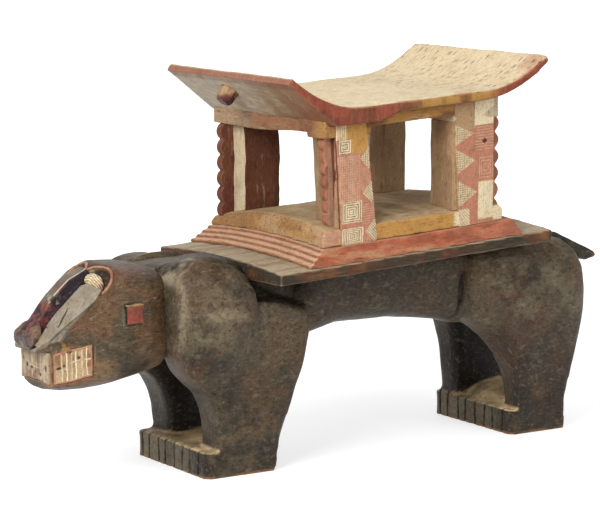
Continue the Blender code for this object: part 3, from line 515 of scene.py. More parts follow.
# Each figure: form, middle and half sizes in millimetres from the front foot of the post, paint, kind of line,
# pitch of the lines, and colour of the lines
FRONT_FIGURES = (
    ("box", (34, 106, 20, 19), "ochre", "plain", 1, "ochre"),
    ("box", (8, 115, 7.5, 10.5), "cream", "upright", 3.0, "ochre"),
    ("box", (13, 96, 9.5, 8.5), "cream", "squares", 3.1, "line"),
    ("box", (17.5, 58, 16, 28), "pink", "cross", 3.0, "blush"),
    ("box", (45, 55, 12, 14), "pink", "slant", 2.6, "blush"),
    ("diamond", (46, 80.5, 12, 14), "cream", "cross", 2.8, "bare"),
    ("diamond", (50, 39, 12, 14), "cream", "slant", 2.6, "line"),
    ("box", (47, 14, 10.5, 12.5), "pink", "level", 2.8, "blush"),
    ("box", (22.5, 18, 14, 12.5), "cream", "squares", 3.1, "line"),
    ("box", (24, -11, 15, 10), "cream", "squares", 3.1, "line"),
    ("box", (48, -17, 10, 6), "pink", "level", 2.8, "blush"),
    ("diamond", (55, -7, 14, 14), "cream", "slant", 2.6, "line"),
)
REAR_FIGURES = (
    ("box", (15, 113, 17, 16), "bare", "plain", 1, "ochre"),
    ("diamond", (0, 92, 31, 14), "cream", "cross", 2.7, "bare"),
    ("diamond", (2, 59, 31, 17), "cream", "cross", 2.7, "bare"),
    ("diamond", (4, 20, 32, 19), "cream", "cross", 2.7, "bare"),
    ("box", (47, 117, 16, 16), "cream", "plain", 1, "ochre"),
    ("box", (46, 85, 15, 15), "pink", "level", 3.4, "blush"),
    ("diamond", (46, 81, 4.5, 3.5), "grime_and_shade", "plain", 1, "grime_and_shade"),
    ("box", (48, 49, 12, 15), "pink", "squares", 3.2, "blush"),
    ("box", (49, 9, 12, 23), "cream", "plain", 1, "bare"),
    ("box", (12, -9, 12, 10), "cream", "slant", 2.8, "bare"),
)


def ornament(coat, figures, along, up, where):
    """Paint the figures of a post where the mask says, and return how deep their lines are cut."""
    cuts = np.zeros(len(along))
    for form, spot, paint, kind, pitch, line in figures:
        inside = figure(form, along, up, spot) * where
        grooves = lines(kind, along, up, spot, pitch) * inside
        coat.add(tint(paint), inside)
        coat.add(tint(line), grooves * 0.8)
        cuts = cuts * (1 - inside) + grooves
    return cuts


# Face

def face_axes(side):
    """Axes of one half of the face: up the slope, away from the middle, and out of the face."""
    up = Vector((cos(FACE_ANGLE), 0.0, sin(FACE_ANGLE)))
    out = Vector((-sin(FACE_ANGLE), 0.0, cos(FACE_ANGLE)))
    across = Vector((0.0, float(side or 1), 0.0))
    tilt = FACE_TILT if side else 0.0
    return up, cos(tilt) * across - sin(tilt) * out, cos(tilt) * out + sin(tilt) * across


def face_places(spots, side):
    """Places as climb, distance from the middle and height over one half of the face."""
    shifted = spots - np.array(FACE_FOOT)
    return [shifted @ np.array(axis) for axis in face_axes(side)]


def face_spot(side, along, away, lift):
    """Place from climb, distance from the middle and height over one half of the face."""
    up, across, out = face_axes(side)
    return FACE_FOOT + along * up + away * across + lift * out


def face_rebuild(side, along, away, lift):
    """Places of many vertices from their climb, distance and height."""
    parts = zip((along, away, lift), face_axes(side))
    return np.array(FACE_FOOT) + sum(value[:, None] * np.array(axis) for value, axis in parts)


def stroke(along, away, start, end, width):
    """Mask of a straight cut that narrows to its ends."""
    start, end = np.array(start), np.array(end)
    run = end - start
    reach = np.hypot(*run)
    share = ((along - start[0]) * run[0] + (away - start[1]) * run[1]) / reach ** 2
    off = np.abs((along - start[0]) * run[1] - (away - start[1]) * run[0]) / reach
    taper = np.sqrt(np.clip(4 * share * (1 - share), 0.0, 1.0))
    return np.where((share > 0) & (share < 1), 1 - ease(off, 0.4 * width, width * (0.41 + 0.6 * taper)), 0.0)


def jaw_drop(spots):
    """Lower the foot of the rows of teeth towards the chin."""
    deep = ease(spots[:, 2], 0.116, 0.1315) * ease(spots[:, 2], 0.163, 0.140)
    share = deep * ease(spots[:, 0], -0.352, -0.392) * (0.6 + 0.4 * ease(np.abs(spots[:, 1]), 0.010, 0.036))
    return spots - np.outer(0.0062 * share, (0.0, 0.0, 1.0))


class STOOL_OT_body(bpy.types.Operator):
    """Carve the barrel, legs and feet as one"""
    bl_idname = "stool.body"
    bl_label = "Body"

    def execute(self, context):
        sizes = context.scene.stool_sizes
        nodes = ["trunk", "front_foot", "rear_foot"]
        nodes += [leg + word for leg in ("foreleg_", "hindleg_") for word, _ in SIDES]
        piece = solids("body_carved", *nodes)
        modify(piece, "DISPLACE", strength=0.0008, mid_level=0.0)
        feet = [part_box("front_foot"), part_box("rear_foot")]
        lumps = []
        for (low, high), rise, reach in zip(feet, (0.015, 0.029), (0.62, 0.90)):
            span = high.x - low.x
            lump = pebble((low.x + reach * span, 0.5 * (low.y + high.y), 0.019), (reach * span, 1.1 * high.y, rise))
            inside = points(lump)
            inside[:, 0] = np.minimum(inside[:, 0], high.x - 0.003)
            inside[:, 1] = np.clip(inside[:, 1], low.y + 0.01, high.y - 0.01)
            place(lump, inside)
            lumps.append(lump)
        piece = gather("body_carved", [piece, *lumps])
        regrid(piece, sizes.body_cell, 1)
        spots = points(piece)
        rub(piece, spots[:, 2] > feet[0][1].z + 0.004, 10)
        heels = [np.abs(spots[:, 0] - high.x) < 0.022 for _, high in feet]
        rub(piece, (heels[0] | heels[1]) & (np.abs(spots[:, 2] - 0.040) < 0.026), 24)
        corners = [(spots[:, 0] < low.x + 0.014) & (spots[:, 0] > low.x - 0.01) & (np.abs(spots[:, 1]) > high.y - 0.016)
                   for low, high in feet]
        rub(piece, (corners[0] | corners[1]) & (spots[:, 2] < 0.027) & (spots[:, 2] > 0.003), 14)
        ledge = ease(spots[:, 0], -0.085, -0.100) * (spots[:, 0] > -0.180) * (np.abs(spots[:, 1]) > 0.070)
        spots = points(piece)
        limit = np.interp(spots[:, 0], (-0.180, -0.162, -0.085), (0.240, 0.209, 0.203))
        high = np.maximum(spots[:, 2] - limit, 0.0)
        spots[:, 2] -= 0.85 * ledge * high
        place(piece, spots)
        rub(piece, (ledge > 0.01) & (np.abs(spots[:, 2] - limit) < 0.014), 14)
        refine(piece, lambda spots: self.near_toes(spots, feet), 2)
        ring = self.swell(piece, sizes)
        spots = points(piece)
        marks = scoops(spots, (28.0, 34.0, 24.0), 3.1)
        lumps = drift(spots, (14.0, 14.0, 10.0), 1.7)
        free = ease(spots[:, 2], 0.002, 0.012)
        push(piece, (marks * sizes.adze_depth + lumps * 0.0011) * free)
        cuts = self.toe_cuts(piece, feet, sizes)
        spots = points(piece) + np.outer(cuts, (sizes.toe_depth, 0.0, -0.25 * sizes.toe_depth))
        spots[:, 2] = np.maximum(spots[:, 2], 0.0)
        place(piece, spots)
        self.paint(piece, feet, cuts, ring)
        finish(piece, "animal_wood", "dark_wood", *nodes)
        return {"FINISHED"}

    def near_toes(self, spots, feet):
        """True for places on the fronts of the feet."""
        near = [(np.abs(spots[:, 0] - low.x) < 0.009) & (spots[:, 2] < high.z + 0.003) for low, high in feet]
        return near[0] | near[1]

    def swell(self, piece, sizes):
        """Swell the shoulders, part belly from haunch, and return the distance from each shoulder's middle."""
        spots, facing = points(piece), normals(piece)
        down = np.where(spots[:, 2] > 0.205, 0.060, 0.105)
        ring = np.hypot((spots[:, 0] + 0.2190) / 0.053, (spots[:, 2] - 0.205) / down)
        ring = np.where((np.abs(spots[:, 1]) > 0.03) & (spots[:, 0] < -0.14), ring, 9.0)
        cap = np.clip(1 - ring ** 2, 0.0, 1.0) ** (0.45 + 0.65 * ease(spots[:, 2], 0.225, 0.150))
        crease = ease(np.abs(ring - 1.10), 0.10, 0.03) * ease(spots[:, 2], 0.18, 0.205)
        push(piece, sizes.dome_height * cap - 0.0030 * crease)
        outside = ease(facing[:, 1] * np.sign(spots[:, 1]), 0.3, 0.6)
        part = self.parting(spots) * outside
        haunch = ease(spots[:, 0], 0.1415, 0.146) * ease(spots[:, 0], 0.20, 0.165) * outside
        push(piece, 0.0018 * haunch * ease(spots[:, 2], 0.12, 0.15) - 0.0030 * part)
        return ring

    def parting(self, spots):
        """Groove between belly and haunch."""
        line = 0.1415 + 0.0012 * np.sin(90 * spots[:, 2])
        near = ease(np.abs(spots[:, 0] - line), 0.0042, 0.0010)
        return near * ease(spots[:, 2], 0.150, 0.160) * ease(spots[:, 2], 0.225, 0.210)

    def toe_cuts(self, piece, feet, sizes):
        """How deep each vertex lies in a line between two toes."""
        spots = points(piece)
        cuts = np.zeros(len(spots))
        for low, high in feet:
            pitch = (high.y - low.y) / 8.6
            front = ease(spots[:, 0], low.x + 0.008, low.x + 0.003)
            front = front * ease(np.abs(spots[:, 0] - low.x), 0.02, 0.01) * ease(spots[:, 2], high.z + 0.004, high.z)
            for n in range(8):
                lean = 0.05 * sin(3.1 * n + 1.0) * (spots[:, 2] - high.z)
                middle = high.y - pitch * (n + 0.55) + 0.0016 * sin(2.3 * n) + lean
                near = ease(np.abs(spots[:, 1] - middle), 0.75 * sizes.toe_cut, 0.2 * sizes.toe_cut)
                cuts = np.maximum(cuts, near * front)
        return cuts

    def paint(self, piece, feet, cuts, ring):
        """Dust on the feet, bare wood at the soles, painted shade in the toe cuts, in the groove before the haunch, on
        the belly, low on the body, under the board and between the legs, and painted highlights on the shoulders and
        the fronts of the feet.
        """
        spots, facing = points(piece), normals(piece)
        coat = Coat(piece)
        patch = drift(spots, (40.0, 40.0, 40.0), 5.0)
        # Painted highlight: a pale sheen on the middle of each shoulder dome.
        coat.add(tint("light"), 0.6 * np.clip(1 - ring ** 2, 0.0, 1.0) * ease(patch, -0.4, 0.4))
        coat.add(tint("warm"), 0.25 * ease(drift(spots, (16.0, 16.0, 16.0), 9.0), 0.0, 0.3))
        coat.add(tint("light"), 0.4 * ease(spots[:, 0], 0.145, 0.18) * ease(spots[:, 2], 0.12, 0.17) * ease(patch, -0.3, 0.4))
        # Painted shade: darker towards the bottom of the body.
        coat.add(tint("deep") * 0.8, 0.7 * ease(spots[:, 2], 0.15, 0.03) * ease(patch, -0.6, 0.3))
        # Painted shadow of the board on the belly.
        belly = ease(spots[:, 0], -0.1, -0.06) * ease(spots[:, 0], 0.15, 0.14)
        coat.add(tint("deep") * 0.8, 0.4 * belly)
        # Painted shade on the inner faces of the legs.
        inward = ease(-facing[:, 1] * np.sign(spots[:, 1]), 0.2, 0.6) * ease(spots[:, 2], 0.17, 0.14)
        coat.add(tint("deep") * 0.35, 0.85 * inward)
        for low, high in feet:
            front = ease(-facing[:, 0], 0.5, 0.8) * ease(np.abs(spots[:, 0] - low.x), 0.012, 0.006)
            front = front * ease(spots[:, 2], high.z + 0.006, high.z)
            toe = np.sin(9.0 + 5.3 * np.floor((high.y - spots[:, 1]) * 8.6 / (high.y - low.y) + 0.45))
            # Painted highlight: the front faces of the feet lighter where the lamp falls, each toe a different tone,
            # and darker towards the near side.
            coat.add(tint("light"), front * (0.6 + 0.3 * toe) * ease(spots[:, 1], -0.06, -0.01))
            coat.add(tint("deep") * 0.6, front * 0.6 * ease(spots[:, 1], -0.02, -0.07))
        flat = ease(facing[:, 2], 0.35, 0.8) * ease(spots[:, 2], 0.085, 0.055)
        coat.add(tint("dust") * 1.25, flat * (0.85 + 0.7 * patch))
        sole = ease(spots[:, 2], 0.004, 0.001) * ease(patch, -0.2, 0.1)
        coat.add(tint("raw"), sole * 0.6)
        neck = ease(np.abs(spots[:, 0] + 0.2635), 0.004, 0.0015) * ease(spots[:, 2], 0.15, 0.18)
        coat.add(tint("worn"), neck * 0.35)
        edge = ease(np.abs(ring - 0.99), 0.05, 0.015) * ease(spots[:, 2], 0.19, 0.22)
        coat.add(tint("worn"), 0.6 * edge * ease(patch, -0.4, 0.1))
        # Painted shadow in the hollow under the board behind each shoulder.
        beyond = ease(ring, 1.02, 1.10) * ease(ring, 1.5, 1.3) * ease(spots[:, 2], 0.20, 0.215) * ease(spots[:, 0], -0.215, -0.19)
        coat.add(tint("deep") * 0.5, 0.8 * beyond)
        # Painted shadow on the top of the ledge under the board.
        under = ease(spots[:, 0], -0.185, -0.170) * ease(spots[:, 0], -0.075, -0.090) * ease(facing[:, 2], 0.2, 0.6)
        coat.add(tint("deep") * 0.4, 0.85 * under * ease(spots[:, 2], 0.190, 0.198))
        # Painted highlight: a pale sheen spot on each shoulder.
        shine = np.hypot((spots[:, 0] + 0.215) / 0.022, (spots[:, 2] - 0.198) / 0.011) + 1.5 * patch
        coat.add(tint("worn"), 0.45 * ease(shine, 1.2, 0.2) * (np.abs(spots[:, 1]) > 0.06))
        # Painted shade in the groove between belly and haunch.
        coat.add(tint("deep") * 0.4, 0.85 * self.parting(spots) * ease(np.abs(facing[:, 1]), 0.3, 0.6))
        # Painted shade in the cuts between the toes.
        coat.add(tint("deep") * 0.2, cuts)
        coat.marks = 0.08 * ease(patch, 0.0, 0.3) * (1 - cuts)
        coat.lay()


class STOOL_OT_head(bpy.types.Operator):
    """Carve the head"""
    bl_idname = "stool.head"
    bl_label = "Head"

    def execute(self, context):
        sizes = context.scene.stool_sizes
        fills = [plank(lambda a, y, h: face_spot(side, 0.086 + 0.022 * a, 0.036 + 0.030 * y, -0.0150 + 0.0050 * h))
                 for _, side in SIDES]
        piece = gather("head_carved", [solids("head_carved", "head"), *fills])
        regrid(piece, sizes.head_cell, 2)
        spots = points(piece)
        along = face_places(spots, 0)[0]
        rub(piece, (along > 0.108) | ((spots[:, 0] > -0.36) & (spots[:, 2] < 0.13)), 30)
        spots = points(piece)
        soft = np.zeros(len(spots), bool)
        for _, side in SIDES:
            along, off, lift = face_places(spots, side)
            dip = ease(np.hypot(along - EAR_MIDDLE[0], off - EAR_MIDDLE[1]), EAR_REACH, EAR_REACH - 0.004)
            spots -= np.outer(0.0050 * dip * (lift > -0.016) * (spots[:, 1] * side > 0.004), face_axes(side)[2])
            run = np.array((cos(JAW_FLARE), side * sin(JAW_FLARE), 0.0))
            shifted = spots - np.array((JAW_CORNER.x, side * JAW_CORNER.y, JAW_CORNER.z))
            reach, behind = shifted @ run, shifted @ np.array((-sin(JAW_FLARE), side * cos(JAW_FLARE), 0.0))
            edge = -0.002 + 0.012 * (reach - 0.003) / 0.044
            lip = (reach > 0.001) & (reach < 0.049) & (shifted[:, 2] > edge - 0.003) & (shifted[:, 2] < 0.018)
            lip = lip & (behind > -0.012) & (behind < -0.0008)
            spots -= np.outer(np.where(lip, behind + 0.0008, 0.0), (-sin(JAW_FLARE), side * cos(JAW_FLARE), 0.0))
            near = (reach > -0.004) & (reach < 0.056) & (np.abs(behind) < 0.016)
            soft |= near & (shifted[:, 2] > edge + 0.003) & (shifted[:, 2] < 0.024)
        place(piece, spots)
        rub(piece, soft, 40)
        spots = points(piece)
        marks = scoops(spots, (26.0, 40.0, 40.0), 8.3)
        push(piece, marks * 0.45 * sizes.adze_depth + drift(spots, (18.0, 18.0, 18.0), 2.2) * 0.0006)
        spots = points(piece)
        coat = Coat(piece)
        patch = drift(spots, (12.0, 12.0, 20.0), 6.0)
        coat.add(tint("warm"), 0.6 * ease(patch + 3 * (0.2 - spots[:, 2]), -0.1, 0.4))
        coat.add(tint("olive"), 0.55 * ease(spots[:, 2], 0.180, 0.14) * ease(patch, -0.4, 0.2))
        scratch = ease(drift(spots, (60.0, 200.0, 60.0), 3.0), 0.08, 0.25) * ease(spots[:, 0], -0.355, -0.385)
        coat.add(tint("ochre") * 0.8, 0.55 * scratch * ease(np.abs(spots[:, 2] - 0.168), 0.012, 0.006))
        coat.add(tint("plum") * 0.8, 0.3 * ease(spots[:, 2], 0.236, 0.252))
        coat.add(tint("black") * 1.3, 0.6 * ease(spots[:, 2], 0.126, 0.118))
        for _, side in SIDES:
            self.rims(coat, spots, side)
        coat.lay()
        place(piece, jaw_drop(points(piece)))
        finish(piece, "head_wood", "dark_wood", "head")
        return {"FINISHED"}

    def rims(self, coat, spots, side):
        """Lines round the inlay, the eye and the jaw of one side, and painted shade in the hollow of the ear."""
        own = spots[:, 1] * side > 0.004
        low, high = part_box("cheek_inlay_left")
        middle, half = (low + high) / 2, (high.x - low.x) / 2
        away = np.maximum(np.abs(spots[:, 0] - middle.x), np.abs(spots[:, 2] - middle.z)) - half
        shell = own & (np.abs(spots[:, 1]) > 0.06)
        coat.add(tint("deep") * 0.5, shell * ease(away, 0.0032, 0.0020) * 0.9)
        coat.add(tint("light"), shell * ease(np.abs(away - 0.0044), 0.0016, 0.0006) * 0.3)
        along, off, lift = face_places(spots, side)
        face = own & (np.abs(lift + FACE_DROP) < 0.003) & (along < 0.104) & (off < 0.06)
        coat.add(tint("grey") * 0.75, face * ease(off, 0.054, 0.047) * 0.7)
        ear = np.hypot(along - EAR_MIDDLE[0], off - EAR_MIDDLE[1])
        # Painted shade in the hollow of the ear, redder away from the middle of the face.
        coat.add(tint("deep"), own * (lift > -0.018) * ease(ear, EAR_REACH, EAR_REACH - 0.003) * 0.8)
        coat.add(tint("plum") * 0.6, own * (lift > -0.018) * ease(ear, EAR_REACH, EAR_REACH - 0.003) * ease(off, 0.035, 0.05))
        jaw = own & (spots[:, 0] < -0.362)
        edge = 0.1305 + 0.12 * (spots[:, 0] + 0.40)
        coat.add(tint("pink") * 0.85, jaw * ease(np.abs(spots[:, 2] - edge), 0.0024, 0.0010) * 0.8)


class STOOL_OT_nose(bpy.types.Operator):
    """Shape the nose and the ridge above it"""
    bl_idname = "stool.nose"
    bl_label = "Nose and ridge"

    def execute(self, context):
        self.ridge(context.scene.stool_sizes)
        self.block(context.scene.stool_sizes)
        return {"FINISHED"}

    def ridge(self, sizes):
        """Flat-topped ridge that sinks into the brow."""
        foot = plank(lambda a, y, h: face_spot(0, 0.013 + 0.017 * a, 0.0112 * y - 0.0012 * y * (h > 0),
                                               -0.0068 + 0.0066 * h))
        piece = gather("nose_ridge", [solids("nose_ridge", "nose_bridge"), foot])
        regrid(piece, sizes.face_cell, 2)
        along, off, lift = face_places(points(piece), 0)
        sink = ease(along, 0.068, 0.099)
        off = off * (1 + 0.14 * ease(lift, -0.008, 0.0))
        lift = np.maximum(lift, -0.010) * 1.45 + 0.0045 + np.minimum(lift + 0.010, 0.0)
        lift = lift - 0.0055 * ease(along, 0.050, 0.008) - 0.0075 * sink - 0.0008 * (off / 0.0095) ** 2
        place(piece, face_rebuild(0, along, off * (1 - 0.15 * sink), lift))
        spots = points(piece)
        push(piece, drift(spots, (60.0, 60.0, 60.0), 4.0) * 0.0005)
        coat = Coat(piece, "black")
        high = ease(lift + 0.0075 * sink + 0.0055 * ease(along, 0.050, 0.008), 0.0005, 0.0022)
        patch = drift(spots, (60.0, 60.0, 60.0), 2.0)
        # The top of the ridge painted grey, partly its own grey and partly painted sheen.
        coat.add(tint("grey") * 0.55, high * ease(np.abs(off), 0.0100, 0.0088) * 0.75)
        coat.add(tint("plum"), high * 0.4 * ease(patch, 0.0, 0.3))
        # Painted highlight: a thin broken cream line along the arrises of the ridge top.
        arris = ease(np.abs(np.abs(off) - 0.0094), 0.0012, 0.0003) * ease(lift + 0.0075 * sink, -0.001, 0.001)
        coat.add(tint("cream"), arris * 0.8 * ease(along, 0.035, 0.045) * ease(patch, -0.35, 0.0))
        coat.add(tint("plum"), ease(along, 0.042, 0.032) * 0.85)
        coat.add(tint("black"), ease(along, 0.042, 0.032) * 0.8 * ease(patch, 0.05, 0.3))
        coat.add(tint("line"), ease(along, 0.042, 0.032) * 0.6 * ease(-patch, 0.08, 0.3))
        chip = ease(drift(spots, (90.0, 90.0, 90.0), 9.0), 0.18, 0.3)
        coat.add(tint("cream") * 0.8, chip * ease(np.abs(along - 0.040), 0.008, 0.003) * 0.6)
        coat.lay()
        finish(piece, "polished_paint", "black_wood", "nose_bridge")

    def block(self, sizes):
        """Blunt end of the muzzle."""
        piece = solids("nose_block", "nose")
        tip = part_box("nose")[0].x
        spots = points(piece)
        spots[:, 0] = tip + (spots[:, 0] - tip) * 0.62
        spots[:, 1] *= 0.86
        place(piece, spots)
        regrid(piece, sizes.face_cell, 2)
        along, off, lift = face_places(points(piece), 0)
        lift = np.where(lift > -0.004, -0.004 + 0.2 * (lift + 0.004), lift)
        place(piece, face_rebuild(0, along, off, lift))
        spots = points(piece)
        push(piece, drift(spots, (70.0, 70.0, 70.0), 7.0) * 0.0009)
        spots = points(piece)
        patch = drift(spots, (80.0, 80.0, 80.0), 1.0)
        coat = Coat(piece, "black")
        # Grey patches over the black, partly the nose's own grey and partly painted highlights.
        coat.add(tint("grey") * 0.55, 0.8 * ease(patch, -0.3, 0.35))
        coat.add(tint("blush") * 0.6, 0.12)
        coat.add(tint("plum") * 0.8, 0.6 * ease(lift, -0.007, -0.0045) * ease(patch, -0.3, 0.2))
        worn = ease(np.abs(spots[:, 1]), 0.004, 0.010) * ease(spots[:, 2], 0.168, 0.178)
        coat.add(tint("bare") * 0.6, worn * 0.45 * ease(patch, -0.5, 0.6))
        coat.lay()
        finish(piece, "polished_paint", "black_wood", "nose")


class STOOL_OT_eyes(bpy.types.Operator):
    """Shape the long eye panels with their slits"""
    bl_idname = "stool.eyes"
    bl_label = "Eye panels"

    def execute(self, context):
        sizes = context.scene.stool_sizes
        for word, side in SIDES:
            node = "eye_panel_" + word
            tip = plank(lambda a, y, h: face_spot(side, 0.001 + 0.0125 * a, 0.0285 + (0.0072 + 0.0036 * a) * y,
                                                  -0.012 + 0.0029 * h))
            piece = gather("eye_leaf_" + word, [solids("eye_leaf_" + word, node), tip])
            regrid(piece, sizes.face_cell, 2)
            along, off, lift = face_places(points(piece), side)
            along = along + 0.26 * np.maximum(along - 0.050, 0.0)
            spots = face_rebuild(side, along, off, lift)
            place(piece, spots)
            slit = stroke(along, off, (0.0195, 0.0353), (0.0460, 0.0252), 0.0018) * (lift > -0.0115)
            push(piece, drift(spots, (50.0, 50.0, 50.0), 3.0) * 0.0004 - slit * 0.0018)
            coat = Coat(piece)
            coat.add(tint("grey") * 0.8, np.ones(len(spots)))
            coat.add(tint("light"), 0.5 * ease(drift(spots, (40.0, 40.0, 40.0), 11.0), 0.0, 0.3))
            coat.add(tint("olive"), 0.3 * ease(drift(spots, (30.0, 30.0, 30.0), 7.0), 0.1, 0.35))
            # Painted shade in the slit.
            coat.add(tint("deep") * 0.3, slit)
            coat.lay()
            finish(piece, "polished_paint", "grey_panel", node)
        return {"FINISHED"}


class STOOL_OT_ears(bpy.types.Operator):
    """Shape the rims and scrolls of the ears"""
    bl_idname = "stool.ears"
    bl_label = "Ears"

    def execute(self, context):
        for word, side in SIDES:
            self.rim(context.scene.stool_sizes, word, side)
            self.scroll(context.scene.stool_sizes, word, side)
        return {"FINISHED"}

    def rim(self, sizes, word, side):
        """Thin edge that bends round the hollow of an ear."""
        beads = []
        for turn in range(-64, 104, 4):
            reach = EAR_REACH + 0.0012 + 0.004 * max(0.0, -turn - 20) / 44
            along = EAR_MIDDLE[0] + reach * cos(radians(turn))
            away = EAR_MIDDLE[1] + reach * sin(radians(turn))
            beads.append(pebble(face_spot(side, along, away, -0.0092), (0.0018, 0.0018, 0.0018)))
        piece = gather("ear_edge_" + word, beads)
        regrid(piece, 0.8 * sizes.face_cell, 3)
        spots = points(piece)
        push(piece, drift(spots, (70.0, 70.0, 70.0), 5.5) * 0.0005)
        coat = Coat(piece, "pink")
        coat.add(tint("line"), 0.4)
        coat.add(tint("brown"), 0.55 * ease(drift(spots, (40.0, 40.0, 40.0), 2.0), -0.05, 0.3))
        coat.add(tint("bare"), 0.6 * ease(drift(spots, (25.0, 25.0, 25.0), 6.0), -0.1, 0.3))
        coat.lay()
        finish(piece, "polished_paint", "red_paint", "ear_rim_" + word)

    def scroll(self, sizes, word, side):
        """Curled tongue inside an ear, with fine lines along it."""
        piece = pebble((0.0, 0.0, 0.0), (0.0076, 0.0215, 0.0056))
        piece = gather("ear_scroll_" + word, [piece])
        regrid(piece, 0.8 * sizes.face_cell, 1)
        across, run, lift = points(piece).T
        off = 0.0262 + run
        climb = 0.0930 - 11.5 * (off - 0.020) ** 2 + across * (1 - 9.0 * run)
        place(piece, face_rebuild(side, climb, off, lift - 0.0125))
        cuts = waves(across + 0.0006 * np.sin(300 * run), 0.0027)
        push(piece, -0.0005 * cuts)
        coat = Coat(piece, "cream")
        coat.add(tint("bare"), 0.5 * ease(drift(points(piece), (50.0, 50.0, 50.0), 3.0), -0.1, 0.3))
        coat.add(tint("line") * 0.6, cuts * 0.7)
        coat.add(tint("brown"), 0.7 * ease(run, 0.012, 0.018))
        coat.lay()
        finish(piece, "polished_paint", "cream_paint", "ear_curl_" + word)


# Lines between the teeth as place and strength, and dark holes as place and half sizes, all in millimetres
SIDE_LINES = ((9.5, 0.6), (15.2, 1.0), (20.9, 0.5), (25.5, 1.0), (32.4, 0.5), (38.1, 1.0))
SIDE_HOLES = ((18.0, 29.0, 5.0, 2.2), (6.0, 15.5, 3.4, 1.4), (29.0, 21.5, 2.0, 1.4), (12.0, 17.0, 1.6, 1.2))
FRONT_LINES = ((9.0, 0.5), (19.0, 0.8), (29.0, 0.4), (40.0, 0.8), (49.0, 0.5), (59.0, 0.6))
FRONT_HOLES = ((53.5, 13.7, 4.2, 2.6), (21.0, 6.7, 2.8, 2.8), (31.0, 8.7, 2.8, 2.6), (8.0, 15.7, 3.0, 2.8),
               (42.0, 12.0, 4.0, 1.6), (62.0, 19.0, 2.4, 3.0))


class STOOL_OT_teeth(bpy.types.Operator):
    """Cut the rows of teeth"""
    bl_idname = "stool.teeth"
    bl_label = "Teeth"

    def execute(self, context):
        sizes = context.scene.stool_sizes
        for word, side in SIDES:
            node = "side_teeth_" + word
            piece = solids("teeth_" + word, node)
            regrid(piece, sizes.tooth_cell, 1)
            spots = points(piece)
            run = Vector((cos(JAW_FLARE), side * sin(JAW_FLARE), 0.0))
            corner = Vector((JAW_CORNER.x, side * JAW_CORNER.y, JAW_CORNER.z))
            along = (spots - np.array(corner)) @ np.array(run) * 1000 - 3.0
            up = (spots[:, 2] - corner.z) * 1000 + 30.0 - 6.0 * along / 44.0
            split = 14.0 + 5.0 * ease(along, 16.0, 20.0)
            self.cut(piece, along, up, (44.0, 28.0 + 6.0 * along / 44.0), SIDE_LINES, split, SIDE_HOLES, 1.0)
            finish(piece, "polished_paint", "cream_paint", node)
        piece = solids("teeth_front", "front_teeth")
        regrid(piece, sizes.tooth_cell, 1)
        spots = points(piece)
        low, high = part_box("front_teeth")
        along, up = (spots[:, 1] - low.y) * 1000, (spots[:, 2] - low.z) * 1000
        extent = (high.y - low.y) * 1000, (high.z - low.z) * 1000
        self.cut(piece, along, up, extent, FRONT_LINES, 14.0 + 0.0 * along, FRONT_HOLES, 0.3)
        finish(piece, "polished_paint", "cream_paint", "front_teeth")
        return {"FINISHED"}

    def cut(self, piece, along, up, extent, strokes, split, holes, rimmed):
        """Raised lines between the teeth and between the two rows, dark holes, and a rim."""
        wide, high = extent
        spots = points(piece)
        sway = drift(spots, (50.0, 50.0, 50.0), 4.4)
        inset = np.minimum(np.minimum(along, wide - along), np.minimum(up, high - up)) + 0.8 * sway
        rim = ease(inset, 2.0, 1.2)
        ridge = 0.8 * ease(np.abs(up - split + 1.2 * sway), 0.9, 0.4) * ease(sway, -0.25, 0.05)
        for spot, strength in strokes:
            ridge = np.maximum(ridge, strength * ease(np.abs(along - spot + 1.6 * sway), 1.2, 0.6))
        ridge = ridge * (1 - rim) * (0.35 + 0.65 * rimmed)
        hole = np.zeros(len(spots))
        for spot_a, spot_u, half_a, half_u in holes:
            away = np.hypot((along - spot_a) / half_a, (up - spot_u) / half_u)
            hole = np.maximum(hole, ease(away + 0.5 * sway, 1.0, 0.5))
        push(piece, 0.0009 * ridge + 0.0006 * rim * rimmed - 0.0016 * hole + 0.0006 * sway)
        coat = Coat(piece, "bare")
        coat.add(tint("olive"), 0.75)
        coat.add(tint("grey") * 0.8, (1 - rimmed) * 0.6)
        coat.add(tint("brown"), 0.6 * ease(sway, 0.0, 0.35))
        coat.add(tint("cream"), 0.9 * ridge + 0.2 * ease(-sway, 0.0, 0.3))
        coat.add(tint("pink") * 0.85, rim * rimmed * 0.85)
        coat.add(tint("deep") * 0.4, hole * 0.9)
        coat.lay()
        place(piece, jaw_drop(points(piece)))


